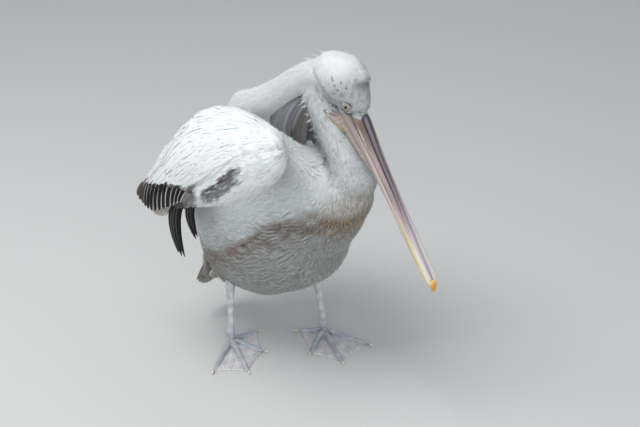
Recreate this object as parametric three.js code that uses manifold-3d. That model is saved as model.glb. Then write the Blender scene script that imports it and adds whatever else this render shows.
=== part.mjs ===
// A life-size pelican standing with its neck folded back and its bill held down in front.
// Millimetres. X points where the bird faces, Y to its left, Z up. The floor is Z = 0.
// Every part is a closed solid. Neighbours are parted by thin cuts of CUT width.

import * as THREE from 'three';
import { mergeVertices } from 'three/addons/utils/BufferGeometryUtils.js';
import Module from 'manifold-3d';

const wasm = await Module();
wasm.setup();

// ---------------------------------------------------------------- driving dimensions
const CUT = 0.3;                 // width of the cut between neighbouring parts
const BODY_WIDTH = 268;          // across the trunk, to the feather tips
const BELLY_HEIGHT = 106;        // floor to the lowest belly feathers
const BACK_HEIGHT = 486;         // floor to the top of the back between the wings
const NECK_GIRTH = 27;           // half thickness of the neck just behind the head
const KINK_GIRTH = 47;           // half thickness of the neck at its rear fold
const HEAD_WIDTH = 82;           // across the head, to the feather tips
const BILL_LENGTH = 346;         // forehead feathers to the tip of the nail
const BILL_WIDTH = 26;           // across the middle of the bill
const EYE_RADIUS = 9.2;          // eyeball
const TOE_RADIUS = 5.2;          // at the root of a front toe
const WEB_THICK = 2.2;           // skin between the toes
const ANKLE_HEIGHT = 14;         // floor to the middle of the toe joint
const SOLE_FLAT = 0;             // the level everything rests on

const BACKWARD = new THREE.Vector3(-1, 0, 0);
const LEFT = new THREE.Vector3(0, 1, 0);

// ---------------------------------------------------------------- finishes
const finish = (color, roughness) => () => new THREE.MeshStandardMaterial({ color, roughness, metalness: 0 });
const FINISH = {
  plumage: finish(0xe9edef, 0.9),
  shaded: finish(0x8f9396, 0.95),
  flight: finish(0x3a3432, 0.8),
  hand: finish(0x1c1a1c, 0.7),
  bill: finish(0xb3a3a0, 0.55),
  pouch: finish(0xc9ad97, 0.6),
  nail: finish(0xd9922e, 0.45),
  eye: finish(0xd8cfb4, 0.15),
  leg: finish(0x85858f, 0.7),
  claw: finish(0xd8cfb8, 0.5),
};

// ---------------------------------------------------------------- solids from geometry
function closed(geometry) {
  return new wasm.Manifold(new wasm.Mesh({
    numProp: 3,
    vertProperties: new Float32Array(geometry.attributes.position.array),
    triVerts: new Uint32Array(geometry.index.array),
  }));
}

// A geometry as a solid, each of its points moved out by `grow` along its normal.
function solid(geometry, grow = 0) {
  const bare = geometry.clone();
  bare.deleteAttribute('normal');
  bare.deleteAttribute('uv');
  const merged = mergeVertices(bare, 1e-4);
  if (closed(merged).volume() < 0) {
    merged.index.array.reverse();
  }
  merged.computeVertexNormals();
  const { position, normal } = merged.attributes;
  for (let i = 0; i < position.count; i += 1) {
    position.setXYZ(
      i,
      position.getX(i) + normal.getX(i) * grow,
      position.getY(i) + normal.getY(i) * grow,
      position.getZ(i) + normal.getZ(i) * grow,
    );
  }
  return closed(merged);
}

function geometryOf(manifold) {
  const mesh = manifold.getMesh();
  const geometry = new THREE.BufferGeometry();
  geometry.setAttribute('position', new THREE.BufferAttribute(mesh.vertProperties.slice(), 3));
  geometry.setIndex(new THREE.BufferAttribute(mesh.triVerts.slice(), 1));
  geometry.computeVertexNormals();
  return geometry;
}

// The largest piece of a solid, so that a cut leaves no crumbs.
function largest(manifold) {
  return manifold.decompose().sort((a, b) => b.volume() - a.volume())[0];
}

const vector = ([x, y, z]) => new THREE.Vector3(x, y, z);
const spline = (points) => new THREE.CatmullRomCurve3(points.map(vector));

// How full a rounded end is: 0 at the very end, 1 from `length` inwards.
function roundedEnd(distance, length) {
  const inward = Math.min(distance / length, 1);
  return Math.sqrt(1 - (1 - inward) ** 2);
}

// A body swept along a curve. Each station is [x, y, z, half width, half depth].
// `side` is the direction of the width. `blunt` is the share of the length that rounds each end.
function swept({ stations, side = LEFT, sides = 20, rings = 14, blunt = [0.15, 0.15], shape = 2, grow = 0 }) {
  const path = spline(stations);
  const girth = spline(stations.map(([, , , wide, deep]) => [wide, deep, 0]));
  const geometry = new THREE.SphereGeometry(1, sides, rings);
  const position = geometry.attributes.position;
  const point = new THREE.Vector3();
  for (let i = 0; i < position.count; i += 1) {
    point.fromBufferAttribute(position, i);
    const along = Math.acos(THREE.MathUtils.clamp(point.y, -1, 1)) / Math.PI;
    const around = Math.atan2(point.z, point.x);
    const end = Math.min(roundedEnd(along, blunt[0]), roundedEnd(1 - along, blunt[1]));
    const size = girth.getPoint(along);
    const tangent = path.getTangent(along);
    const across = side.clone().addScaledVector(tangent, -side.dot(tangent)).normalize();
    const upward = tangent.clone().cross(across);
    const corner = (value) => Math.sign(value) * Math.abs(value) ** (2 / shape);
    const centre = path.getPoint(along);
    centre.addScaledVector(across, corner(Math.cos(around)) * size.x * end);
    centre.addScaledVector(upward, corner(Math.sin(around)) * size.y * end);
    position.setXYZ(i, centre.x, centre.y, centre.z);
  }
  return solid(geometry, grow);
}

// A bowed panel between an upper and a lower edge curve, such as a wing or a tail.
// `thick`, `inner` and `bow` are lists along the panel: its half thickness on the side that `out`
// points to, the same on the other side, and how far its middle bows out.
function panel({
  top, bottom, thick, inner = thick, bow, out, sides = 12, rings = 8, blunt = [0.15, 0.1], grow = 0,
}) {
  const upper = spline(top);
  const lower = spline(bottom);
  const gauge = spline(thick.map((value, i) => [value, bow[i], inner[i]]));
  const geometry = new THREE.SphereGeometry(1, sides, rings);
  const position = geometry.attributes.position;
  const point = new THREE.Vector3();
  for (let i = 0; i < position.count; i += 1) {
    point.fromBufferAttribute(position, i);
    const along = Math.acos(THREE.MathUtils.clamp(point.y, -1, 1)) / Math.PI;
    const around = Math.atan2(point.z, point.x);
    const end = Math.min(roundedEnd(along, blunt[0]), roundedEnd(1 - along, blunt[1]));
    const high = upper.getPoint(along);
    const low = lower.getPoint(along);
    const reach = high.clone().sub(low).multiplyScalar(0.5);
    const lean = -out.dot(reach) / Math.max(reach.lengthSq(), 1);
    const facing = out.clone().addScaledVector(reach, lean).normalize();
    const size = gauge.getPoint(along);
    const spread = Math.cos(around);
    const centre = high.clone().add(low).multiplyScalar(0.5);
    centre.addScaledVector(reach, spread * end);
    const gap = Math.sin(around) > 0 ? size.x : size.z;
    centre.addScaledVector(facing, Math.sin(around) * gap * end + size.y * (1 - (spread * end) ** 2));
    position.setXYZ(i, centre.x, centre.y, centre.z);
  }
  return solid(geometry, grow);
}


// ---------------------------------------------------------------- trunk
const TRUNK = [
  [-196, 0, 244, 38, 84],
  [-152, 0, 254, 84, 160],
  [-92, 0, 274, 114, 182],
  [-20, 0, 295, BODY_WIDTH / 2 - 2, (BACK_HEIGHT - BELLY_HEIGHT) / 2 - 3],
  [50, 0, 310, 129, 163],
  [96, 0, 336, 100, 118],
  [160, 0, 367, 86, 87],
  [222, 0, 388, 72, 61],
];

// ---------------------------------------------------------------- neck
const LOWER_ARM = [
  [-92, 0, 466, 40, 40],
  [-45, 0, 448, KINK_GIRTH + 4, KINK_GIRTH - 2],
  [20, 0, 430, 60, 50],
  [85, 0, 408, 64, 48],
  [135, 0, 388, 64, 48],
  [180, 0, 366, 60, 46],
];
const UPPER_ARM = [
  [-92, 0, 458, 38, 34],
  [-66, 0, 480, 43, KINK_GIRTH - 6],
  [-22, 0, 506, 40, 39],
  [28, 0, 547, 34, 31],
  [78, 0, 586, NECK_GIRTH + 2, NECK_GIRTH + 2],
  [118, 0, 605, NECK_GIRTH + 4, NECK_GIRTH + 1],
  [150, 0, 612, 27, 25],
];
const THROAT = [
  [116, 0, 585, 26, 26],
  [120, 0, 548, 34, 33],
  [146, 0, 505, 37, 36],
  [174, 0, 464, 41, 38],
  [196, 0, 424, 45, 39],
  [209, 0, 382, 47, 38],
];
const WEB = [
  [0, 6, 492, 9, 34],
  [45, 6, 500, 10, 42],
  [95, 6, 508, 11, 46],
  [128, 4, 520, 12, 46],
];

// ---------------------------------------------------------------- head and bill
const HEAD = [
  [118, 0, 637, 20, 18],
  [139, 0, 621, HEAD_WIDTH / 2 - 7, 42],
  [169, 0, 598, HEAD_WIDTH / 2, 56],
  [195, 0, 565, 31, 35],
  [205, -1, 534, 21, 26],
];
const BILL_ROOT = new THREE.Vector3(202, -2, 540);
const BILL_TIP = new THREE.Vector3(418.6, -44.8, 270.5);
const BILL_FORWARD = BILL_TIP.clone().sub(BILL_ROOT).normalize();
const BILL_UP = LEFT.clone().cross(BILL_FORWARD).normalize().negate();
const BILL_SIDE = BILL_UP.clone().cross(BILL_FORWARD);

// A point of the bill: forward from the root, to the bird's left, and towards its upper side.
function onBill(forward, left, up) {
  return BILL_ROOT.clone()
    .addScaledVector(BILL_FORWARD, forward)
    .addScaledVector(BILL_SIDE, left)
    .addScaledVector(BILL_UP, up);
}
const billStation = ([forward, up, wide, deep]) => [...onBill(forward, 0, up).toArray(), wide, deep];
const share = (part) => part * BILL_LENGTH;

const UPPER_BILL = [
  [-22, 8, 12, 10],
  [12, 7, 18, 11],
  [share(0.22), 5, 15.5, 7.5],
  [share(0.5), 4, BILL_WIDTH / 2, 5.5],
  [share(0.78), 3, BILL_WIDTH / 2 + 4, 4.5],
  [share(0.88), 2.5, BILL_WIDTH / 2 + 3.5, 4],
  [share(0.94), 2, BILL_WIDTH / 2, 4],
  [share(0.98), 1.5, 8, 3.5],
].map(billStation);
const LOWER_BILL = [
  [-52, -16, 12, 10],
  [-15, -13, 19, 12],
  [share(0.2), -8, 14, 9],
  [share(0.5), -6.5, 10, 6.5],
  [share(0.78), -5.5, 10, 5],
  [share(0.95), -4, 6, 3],
].map(billStation);
const NAIL = [
  [share(0.93), 3, 7.5, 4],
  [share(0.957), 2.5, 8, 4.5],
  [share(0.98), 0, 5.5, 4],
  [share(1), -7, 1.8, 2.2],
].map(billStation);
const POUCH = [
  [-46, -34, 14, 12],
  [-12, -31, 15, 13],
  [share(0.16), -21, 12, 9],
  [share(0.34), -15, 9, 6],
].map(billStation);

const EYE_PLACE = new THREE.Vector3(196.5, 23.6, 564.6);

// ---------------------------------------------------------------- wings
const WING = {
  right: {
    top: [
      [150, -136, 517],
      [114, -126, 530],
      [54, -98, 530],
      [-22, -84, 529],
      [-86, -92, 513],
      [-142, -112, 458],
      [-192, -136, 374],
      [-232, -152, 314],
    ],
    bottom: [
      [158, -152, 476],
      [130, -160, 446],
      [74, -170, 402],
      [14, -174, 370],
      [-50, -174, 342],
      [-110, -170, 318],
      [-162, -164, 301],
      [-208, -158, 290],
    ],
    thick: [12, 24, 27, 27, 22, 15, 9, 5],
    inner: [18, 62, 96, 112, 98, 62, 26, 8],
    bow: [4, 14, 26, 32, 30, 24, 12, 4],
    flight: {
      top: [[-60, -150, 420], [-120, -150, 392], [-186, -150, 350], [-234, -154, 304]],
      bottom: [[-20, -168, 346], [-80, -170, 318], [-150, -168, 291], [-204, -160, 278]],
      thick: [5, 5, 4, 2],
      bow: [2, 5, 5, 2],
    },
    hand: {
      top: [[-40, -160, 362], [-62, -164, 320], [-84, -164, 276], [-110, -160, 218]],
      bottom: [[-112, -164, 330], [-120, -166, 300], [-128, -166, 262], [-128, -160, 212]],
      thick: [5, 5, 4, 2],
      bow: [2, 3, 3, 1],
    },
  },
  left: {
    top: [
      [90, 122, 486],
      [62, 118, 500],
      [18, 96, 514],
      [-42, 84, 514],
      [-100, 86, 492],
      [-158, 84, 436],
      [-212, 78, 356],
      [-246, 72, 296],
    ],
    bottom: [
      [96, 138, 456],
      [70, 144, 436],
      [26, 152, 398],
      [-30, 154, 366],
      [-86, 152, 338],
      [-140, 136, 310],
      [-190, 116, 284],
      [-228, 96, 270],
    ],
    thick: [11, 22, 25, 25, 20, 14, 9, 5],
    inner: [16, 56, 88, 104, 92, 56, 22, 8],
    bow: [4, 12, 22, 26, 24, 18, 10, 3],
    flight: {
      top: [[-80, 128, 402], [-140, 114, 372], [-204, 94, 330], [-250, 78, 286]],
      bottom: [[-52, 146, 336], [-110, 136, 306], [-170, 116, 272], [-222, 92, 252]],
      thick: [5, 5, 4, 2],
      bow: [2, 5, 5, 2],
    },
    hand: {
      top: [[-88, 136, 340], [-130, 118, 306], [-176, 96, 262], [-220, 74, 214]],
      bottom: [[-92, 140, 312], [-134, 122, 278], [-178, 100, 238], [-214, 78, 204]],
      thick: [4, 4, 3, 2],
      bow: [2, 3, 3, 1],
    },
  },
};

// ---------------------------------------------------------------- tail
const TAIL = {
  top: [[-122, -34, 232], [-148, -42, 172], [-164, -46, 122], [-180, -34, 66]],
  bottom: [[-122, 34, 232], [-148, 42, 172], [-164, 46, 122], [-180, 34, 66]],
  thick: [20, 15, 9, 4],
  bow: [4, 4, 3, 2],
};

// ---------------------------------------------------------------- legs and feet
const FOOT = {
  right: {
    ankle: [-59, -75],
    top: [-70, -60, 160],
    toes: [[21, 73], [90, 14], [114.5, -70.5], [57, -118]],
  },
  left: {
    ankle: [60, 75],
    top: [54, 60, 160],
    toes: [[-49, -38], [41, -94], [116, -76], [118, 18.5]],
  },
};
const CLAW_LENGTH = 12;
const WEB_SAG = 0.05;            // how far a web's free edge curves in, as a share of its length

function legStations({ ankle: [x, y], top: [tx, ty, tz] }) {
  return [
    [x, y, ANKLE_HEIGHT - 7, 9.2, 11],
    [x, y, ANKLE_HEIGHT + 12, 6.6, 9],
    [x + (tx - x) * 0.3, y + (ty - y) * 0.3, 60, 4.8, 7.2],
    [x + (tx - x) * 0.62, y + (ty - y) * 0.62, 96, 5.4, 8],
    [x + (tx - x) * 0.8, y + (ty - y) * 0.8, 122, 8.4, 11],
    [tx, ty, tz, 9, 12],
  ];
}

// Cuts off what lies below the floor level, which leaves a flat sole.
const BELOW_FLOOR = solid(new THREE.BoxGeometry(1000, 1000, 100).translate(0, 0, SOLE_FLAT - 50));
const onFloor = (manifold) => manifold.subtract(BELOW_FLOOR);

function toeTip([ax, ay], [dx, dy], inset) {
  const length = Math.hypot(dx, dy);
  const reach = (length - inset) / length;
  return [ax + dx * reach, ay + dy * reach];
}

function toe(ankle, offset, radius) {
  const [ex, ey] = toeTip(ankle, offset, CLAW_LENGTH);
  const [ax, ay] = ankle;
  const middle = [(ax + ex) / 2, (ay + ey) / 2];
  const side = new THREE.Vector3(-offset[1], offset[0], 0).normalize();
  return swept({
    stations: [
      [ax, ay, ANKLE_HEIGHT - 6, radius * 1.35, radius * 1.5],
      [...middle, 4.6, radius, radius],
      [ex, ey, 3.6, radius * 0.8, radius * 0.8],
    ],
    side,
    sides: 8,
    rings: 5,
    blunt: [0.2, 0.12],
  });
}

function claw(ankle, offset) {
  const [rx, ry] = toeTip(ankle, offset, CLAW_LENGTH + 3);
  const [ex, ey] = toeTip(ankle, offset, 0);
  const side = new THREE.Vector3(-offset[1], offset[0], 0).normalize();
  return onFloor(swept({
    stations: [
      [rx, ry, 4.4, 2.6, 2.8],
      [(rx + ex) / 2, (ry + ey) / 2, 4.2, 2.4, 2.6],
      [ex, ey, 1.6, 0.8, 1.2],
    ],
    side,
    sides: 6,
    rings: 5,
    blunt: [0.2, 0.2],
  }));
}

// The skin between the toes, with each free edge curved in a little.
function web(ankle, toes) {
  const outline = new THREE.Shape();
  const corners = toes.map((offset) => toeTip(ankle, offset, CLAW_LENGTH + 2));
  outline.moveTo(...ankle);
  outline.lineTo(...corners[0]);
  for (let i = 1; i < corners.length; i += 1) {
    const middle = [0, 1].map((axis) => (corners[i - 1][axis] + corners[i][axis]) / 2);
    const bend = [0, 1].map((axis) => middle[axis] + (ankle[axis] - middle[axis]) * WEB_SAG * 2);
    outline.quadraticCurveTo(...bend, ...corners[i]);
  }
  outline.lineTo(...ankle);
  const settings = { depth: WEB_THICK + 1, bevelEnabled: false, curveSegments: 4 };
  const skin = new THREE.ExtrudeGeometry(outline, settings);
  return solid(skin.translate(0, 0, SOLE_FLAT - 1));
}

function foot({ ankle, toes }) {
  const radii = [TOE_RADIUS * 0.72, TOE_RADIUS * 0.9, TOE_RADIUS, TOE_RADIUS];
  const spread = toes.reduce((whole, offset, i) => whole.add(toe(ankle, offset, radii[i])), web(ankle, toes));
  return onFloor(spread);
}

// ---------------------------------------------------------------- assembly
const model = new THREE.Group();

function addNode(name, manifold, material) {
  const mesh = new THREE.Mesh(geometryOf(manifold), material());
  mesh.name = name;
  model.add(mesh);
}

// Each entry is [name, shape, finish]. A shape takes how far it is grown, and each solid is cut
// back by every solid before it, grown by CUT, so that neighbours never touch.
const plan = [];
const plant = (name, shape, material) => plan.push([name, shape, material]);

for (const side of ['right', 'left']) {
  const eye = EYE_PLACE.clone();
  eye.y *= side === 'right' ? -1 : 1;
  plant(`eye_${side}`, (grow = 0) => {
    const ball = new THREE.SphereGeometry(EYE_RADIUS, 12, 8);
    return solid(ball.translate(eye.x, eye.y, eye.z), grow);
  }, FINISH.eye);
}
const JAW = { sides: 12, rings: 10 };
const SWEPT = [
  ['bill_nail', { stations: NAIL, sides: 8, rings: 6, blunt: [0.1, 0.2] }, FINISH.nail],
  ['bill_upper', { ...JAW, rings: 14, stations: UPPER_BILL, blunt: [0.04, 0.02], shape: 2.8 }, FINISH.bill],
  ['bill_lower', { ...JAW, stations: LOWER_BILL, blunt: [0.06, 0.06], shape: 2.4 }, FINISH.pouch],
  ['pouch', { stations: POUCH, sides: 10, rings: 8, blunt: [0.15, 0.3] }, FINISH.pouch],
  ['head', { stations: HEAD, sides: 20, rings: 12, blunt: [0.22, 0.2] }, FINISH.plumage],
  ['trunk', { stations: TRUNK, sides: 30, rings: 18, blunt: [0.12, 0.2], shape: 2.15 }, FINISH.plumage],
  ['throat', { stations: THROAT, sides: 16, rings: 10, blunt: [0.12, 0.2] }, FINISH.plumage],
  ['neck_upper', { stations: UPPER_ARM, sides: 16, rings: 12, blunt: [0.16, 0.1] }, FINISH.plumage],
  ['neck_lower', { stations: LOWER_ARM, sides: 18, rings: 10, blunt: [0.16, 0.2] }, FINISH.plumage],
  ['neck_web', { stations: WEB, sides: 8, rings: 6, blunt: [0.3, 0.3] }, FINISH.shaded],
];
for (const [name, form, material] of SWEPT) {
  plant(name, (grow = 0) => swept({ ...form, grow }), material);
}
plant('tail', (grow = 0) => panel({ ...TAIL, out: BACKWARD, grow }), FINISH.flight);
for (const side of ['right', 'left']) {
  const out = new THREE.Vector3(0, side === 'right' ? -1 : 1, 0);
  const { top, bottom, thick, inner, bow, flight, hand } = WING[side];
  const arm = { top, bottom, thick, inner, bow, out, sides: 18, rings: 12, blunt: [0.14, 0.1] };
  plant(`wing_${side}`, (grow = 0) => panel({ ...arm, grow }), FINISH.plumage);
  plant(`wing_${side}_secondaries`, (grow = 0) => panel({ ...flight, out, grow }), FINISH.flight);
  plant(`wing_${side}_primaries`, (grow = 0) => panel({ ...hand, out, grow }), FINISH.hand);
}
for (const side of ['right', 'left']) {
  const { ankle, toes } = FOOT[side];
  const shank = { stations: legStations(FOOT[side]), side: LEFT, sides: 10, rings: 10, blunt: [0.1, 0.05] };
  plant(`leg_${side}`, (grow = 0) => onFloor(swept({ ...shank, grow })), FINISH.leg);
  toes.forEach((offset, i) => plant(`claw_${side}_${i + 1}`, () => claw(ankle, offset), FINISH.claw));
  plant(`foot_${side}`, () => foot(FOOT[side]), FINISH.leg);
}

const done = [];
for (const [name, shape, material] of plan) {
  let piece = shape();
  const box = piece.boundingBox();
  for (const [grown, reach] of done) {
    const apart = [0, 1, 2].some((i) => reach.min[i] > box.max[i] || reach.max[i] < box.min[i]);
    if (!apart) {
      piece = piece.subtract(grown);
    }
  }
  addNode(name, largest(piece), material);
  const grown = shape(CUT);
  done.push([grown, grown.boundingBox()]);
}

const whole = new THREE.Box3().setFromObject(model);
const middle = whole.getCenter(new THREE.Vector3());
model.position.set(-middle.x, -middle.y, 0);

export default model;
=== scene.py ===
"""Finish of a life-size standing pelican: skin, plumage, horn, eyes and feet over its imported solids.

The script works in millimetres measured from the floor midway between the ankles, X the way the
trunk faces and Y to the bird's left, and turns them into the frame's metres when it makes a mesh.
"""
import logging
import math
from collections.abc import Callable
from dataclasses import dataclass
from enum import Enum
from functools import partial

import bpy
import numpy as np
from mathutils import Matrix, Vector
from mathutils.bvhtree import BVHTree


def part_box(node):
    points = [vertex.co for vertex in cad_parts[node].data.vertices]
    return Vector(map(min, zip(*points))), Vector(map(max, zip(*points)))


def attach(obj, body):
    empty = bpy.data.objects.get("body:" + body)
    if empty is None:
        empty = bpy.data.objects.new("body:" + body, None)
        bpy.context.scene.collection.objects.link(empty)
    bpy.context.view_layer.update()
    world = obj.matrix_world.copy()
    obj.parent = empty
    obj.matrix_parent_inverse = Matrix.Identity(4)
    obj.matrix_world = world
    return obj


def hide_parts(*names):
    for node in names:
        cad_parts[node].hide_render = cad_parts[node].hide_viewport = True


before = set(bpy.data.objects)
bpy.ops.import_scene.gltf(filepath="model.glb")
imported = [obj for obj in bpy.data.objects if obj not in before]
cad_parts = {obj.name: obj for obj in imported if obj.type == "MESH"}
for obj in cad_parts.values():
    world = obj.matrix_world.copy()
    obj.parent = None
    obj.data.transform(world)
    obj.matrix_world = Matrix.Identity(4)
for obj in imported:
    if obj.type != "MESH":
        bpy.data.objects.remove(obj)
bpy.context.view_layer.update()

LOG = logging.getLogger("pelican")
MM = 0.001
SEED = 7
BODY = "root"
TINT_RANGE = (0.003, 0.93)                   # darkest and lightest linear colour of a surface
PART_LENGTH = 20000                          # rows that one table of distances takes at a time
DOWN = np.array([0.0, 0.0, -1.0])

Field = Callable[[np.ndarray], np.ndarray]   # a function of places in stance millimetres

# ------------------------------------------------------------------ where the stance lies
LEGS_MIDDLE = np.array([-4.0, 0.0])          # middle of the two legs' boxes, from the stance origin


def stance_origin() -> np.ndarray:
    """Returns the place of the stance origin in the frame, in metres."""
    low = np.array([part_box(f"leg_{side}")[0] for side in ("right", "left")])
    high = np.array([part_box(f"leg_{side}")[1] for side in ("right", "left")])
    middle = (low + high).mean(0) / 2
    return np.array([middle[0] - LEGS_MIDDLE[0] * MM, middle[1] - LEGS_MIDDLE[1] * MM, 0.0])


STANCE = stance_origin()


def to_frame(points: np.ndarray) -> np.ndarray:
    """Turns stance millimetres into frame metres."""
    return np.asarray(points, float) * MM + STANCE


def to_stance(points: np.ndarray) -> np.ndarray:
    """Turns frame metres into stance millimetres."""
    return (np.asarray(points, float) - STANCE) / MM


# ------------------------------------------------------------------ small numeric helpers
def unit(vectors: np.ndarray) -> np.ndarray:
    """Returns the vectors at length one, and zero vectors unchanged."""
    length = np.linalg.norm(vectors, axis=-1, keepdims=True)
    return vectors / np.maximum(length, 1e-9)


def smooth_step(low: float, high: float, value: np.ndarray) -> np.ndarray:
    """Rises smoothly from 0 at low to 1 at high."""
    t = np.clip((value - low) / (high - low), 0.0, 1.0)
    return t * t * (3 - 2 * t)


def mix(first: np.ndarray | tuple, second: np.ndarray | tuple, share: np.ndarray) -> np.ndarray:
    """Blends two colours or values by a share from 0 to 1 for each point."""
    share = np.asarray(share)[..., None]
    return np.asarray(first) * (1 - share) + np.asarray(second) * share


def ripple(points: np.ndarray, scale: float, seed: int = 0) -> np.ndarray:
    """A smooth repeatable noise from -1 to 1, made of a few turned sine waves.

    Args:
        points: places in stance millimetres.
        scale: rough size of a feature in millimetres.
        seed: which of many such noises.

    Returns:
        The noise at each place.
    """
    rng = np.random.default_rng(1000 + seed)
    total = np.zeros(len(points))
    for _ in range(5):
        wave = unit(rng.normal(size=3)) * (2 * math.pi / scale) * rng.uniform(0.6, 1.5)
        total += np.sin(points @ wave + rng.uniform(0, 6.28))
    return np.clip(total / 2.6, -1, 1)


def resampled(line: np.ndarray, places: np.ndarray) -> np.ndarray:
    """Returns points of a line of rows, at places from 0 at its start to 1 at its end."""
    knots = np.linspace(0, 1, len(line))
    return np.stack([np.interp(places, knots, column) for column in line.T], 1)


def parts_of(count: int) -> list[slice]:
    """Returns slices that cut a long array into parts of a fair length."""
    return [slice(start, start + PART_LENGTH) for start in range(0, count, PART_LENGTH)]


def carried(points: np.ndarray, source: tuple, target: tuple) -> np.ndarray:
    """Carries points by the straight map that best takes one list of places to another.

    Args:
        points: rows in stance millimetres.
        source: places before the move.
        target: the same places after it.

    Returns:
        The points after it.
    """
    rows = np.hstack([np.array(source, float), np.ones((len(source), 1))])
    fit = np.linalg.lstsq(rows, np.array(target, float), rcond=None)[0]
    return np.hstack([points, np.ones((len(points), 1))]) @ fit


def in_outline(x: np.ndarray, z: np.ndarray, outline: tuple) -> np.ndarray:
    """Finds which points lie inside a closed outline, by counting the edges crossed.

    Args:
        x: of the points.
        z: of the points.
        outline: corners as (x, z).

    Returns:
        True for each point inside.
    """
    inside = np.zeros(len(x), bool)
    corners = np.array(outline, float)
    for (x0, z0), (x1, z1) in zip(corners, np.roll(corners, -1, axis=0)):
        if z0 != z1:
            inside ^= ((z0 > z) != (z1 > z)) & (x < (x1 - x0) * (z - z0) / (z1 - z0) + x0)
    return inside


# ------------------------------------------------------------------ colours
@dataclass(frozen=True)
class Paint:
    """Linear colours of the bird."""
    white: tuple = (0.76, 0.785, 0.79)
    cool: tuple = (0.64, 0.70, 0.69)
    grey: tuple = (0.36, 0.37, 0.38)
    belly: tuple = (0.30, 0.295, 0.275)
    stain: tuple = (0.215, 0.132, 0.092)
    ochre: tuple = (0.30, 0.22, 0.12)
    # dark grey of the neck's fold, mostly painted shade of the recess behind the neck over greyish feathers
    fold: tuple = (0.20, 0.205, 0.215)
    brown: tuple = (0.022, 0.017, 0.015)
    black: tuple = (0.012, 0.011, 0.013)
    dusk: tuple = (0.30, 0.26, 0.22)
    umber: tuple = (0.20, 0.165, 0.14)
    soot: tuple = (0.06, 0.06, 0.06)
    # grey of the painted shadow on the brow under the crest's overhang
    overhang_shadow: tuple = (0.25, 0.26, 0.275)
    # grey of the painted shadow line under the edge of the wing's white coverts
    hem_shadow: tuple = (0.40, 0.39, 0.38)
    lead: tuple = (0.145, 0.15, 0.165)
    bark: tuple = (0.05, 0.036, 0.03)
    quill: tuple = (0.55, 0.54, 0.53)
    chestnut: tuple = (0.055, 0.04, 0.034)
    chalk: tuple = (0.66, 0.66, 0.66)
    worn: tuple = ((0.10, 0.078, 0.072), (0.03, 0.022, 0.02))
    lining: tuple = (0.50, 0.45, 0.41)
    # greys of the fold's feathers; the darker one is painted shade deep in the recess
    fold_vanes_shaded: tuple = ((0.27, 0.285, 0.31), (0.115, 0.105, 0.10))
    tail: tuple = (0.27, 0.235, 0.205)
    tail_under: tuple = (0.42, 0.40, 0.37)


PAINT = Paint()


# ------------------------------------------------------------------ regions and the lie of the coat
class Region(Enum):
    """The feathered parts of the skin, each with the solids' node it comes from."""
    HEAD = "head"
    NECK_UPPER = "neck_upper"
    NECK_LOWER = "neck_lower"
    THROAT = "throat"
    FOLD = "neck_web"
    TRUNK = "trunk"
    TAIL = "tail"
    WING_RIGHT = "wing_right"
    WING_LEFT = "wing_left"


@dataclass(frozen=True)
class Guide:
    """A line that the coat lies along, as (x, y, z, radius) in stance millimetres.

    Attributes:
        stops: places along the line, in the direction that the feathers point.
        drop: how strongly the feathers also hang down.
        depth: how far the skin lies inside the solids there.
    """
    stops: tuple
    drop: float
    depth: float

    def samples(self, count: int = 48) -> tuple[np.ndarray, np.ndarray, np.ndarray]:
        """Rounds the line's corners and divides it evenly.

        Args:
            count: of points.

        Returns:
            The points, their directions and their radii.
        """
        line = resampled(np.array(self.stops, float), np.linspace(0, 1, count))
        kernel = np.array([1, 2, 3, 2, 1]) / 9
        padded = np.pad(line, ((2, 2), (0, 0)), "edge")
        line = np.stack([np.convolve(padded[:, axis], kernel, "valid") for axis in range(4)], 1)
        return line[:, :3], unit(np.gradient(line[:, :3], axis=0)), line[:, 3]


GUIDES = {
    Region.HEAD: Guide(
        ((214, 0, 526, 22), (192, 0, 562, 34), (169, 0, 597, 46), (140, 0, 619, 38), (112, 0, 610, 30)),
        0.0, 3.6),
    Region.NECK_UPPER: Guide(
        ((136, 0, 618, 30), (78, 0, 588, 29), (28, 0, 548, 33), (-22, 0, 511, 39), (-66, 0, 480, 43),
         (-104, 0, 450, 40)), 0.55, 6.5),
    Region.NECK_LOWER: Guide(
        ((-100, 0, 458, 42), (-45, 0, 448, 47), (20, 0, 430, 52), (85, 0, 408, 54), (135, 0, 388, 56),
         (190, 0, 346, 58)), 0.35, 6.0),
    Region.THROAT: Guide(
        ((118, 0, 596, 26), (120, 0, 548, 34), (146, 0, 505, 37), (174, 0, 464, 40), (196, 0, 424, 42),
         (212, 0, 372, 46), (196, 0, 300, 56)), 0.0, 5.0),
    Region.FOLD: Guide(((90, 6, 560, 20), (60, 6, 510, 30), (30, 6, 470, 30)), 0.5, 2.0),
    Region.TRUNK: Guide(
        ((206, 0, 392, 56), (176, 0, 340, 96), (112, 0, 300, 128), (50, 0, 286, 148), (-20, 0, 276, 156),
         (-92, 0, 262, 142), (-152, 0, 236, 104), (-214, 0, 190, 60)), 0.12, 8.0),
    Region.TAIL: Guide(((-122, 0, 240, 34), (-150, 0, 168, 36), (-184, 0, 60, 36)), 0.0, 3.0),
    Region.WING_RIGHT: Guide(
        ((168, -140, 500, 60), (100, -142, 478, 84), (20, -142, 448, 96), (-60, -146, 412, 96),
         (-140, -150, 366, 78), (-240, -154, 300, 40)), 0.0, 5.0),
    Region.WING_LEFT: Guide(
        ((104, 126, 474, 60), (50, 128, 456, 80), (-10, 124, 428, 92), (-80, 116, 390, 90),
         (-160, 104, 340, 70), (-240, 86, 280, 36)), 0.0, 5.0),
}
FLESH = tuple(region.value for region in Region)


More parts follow.
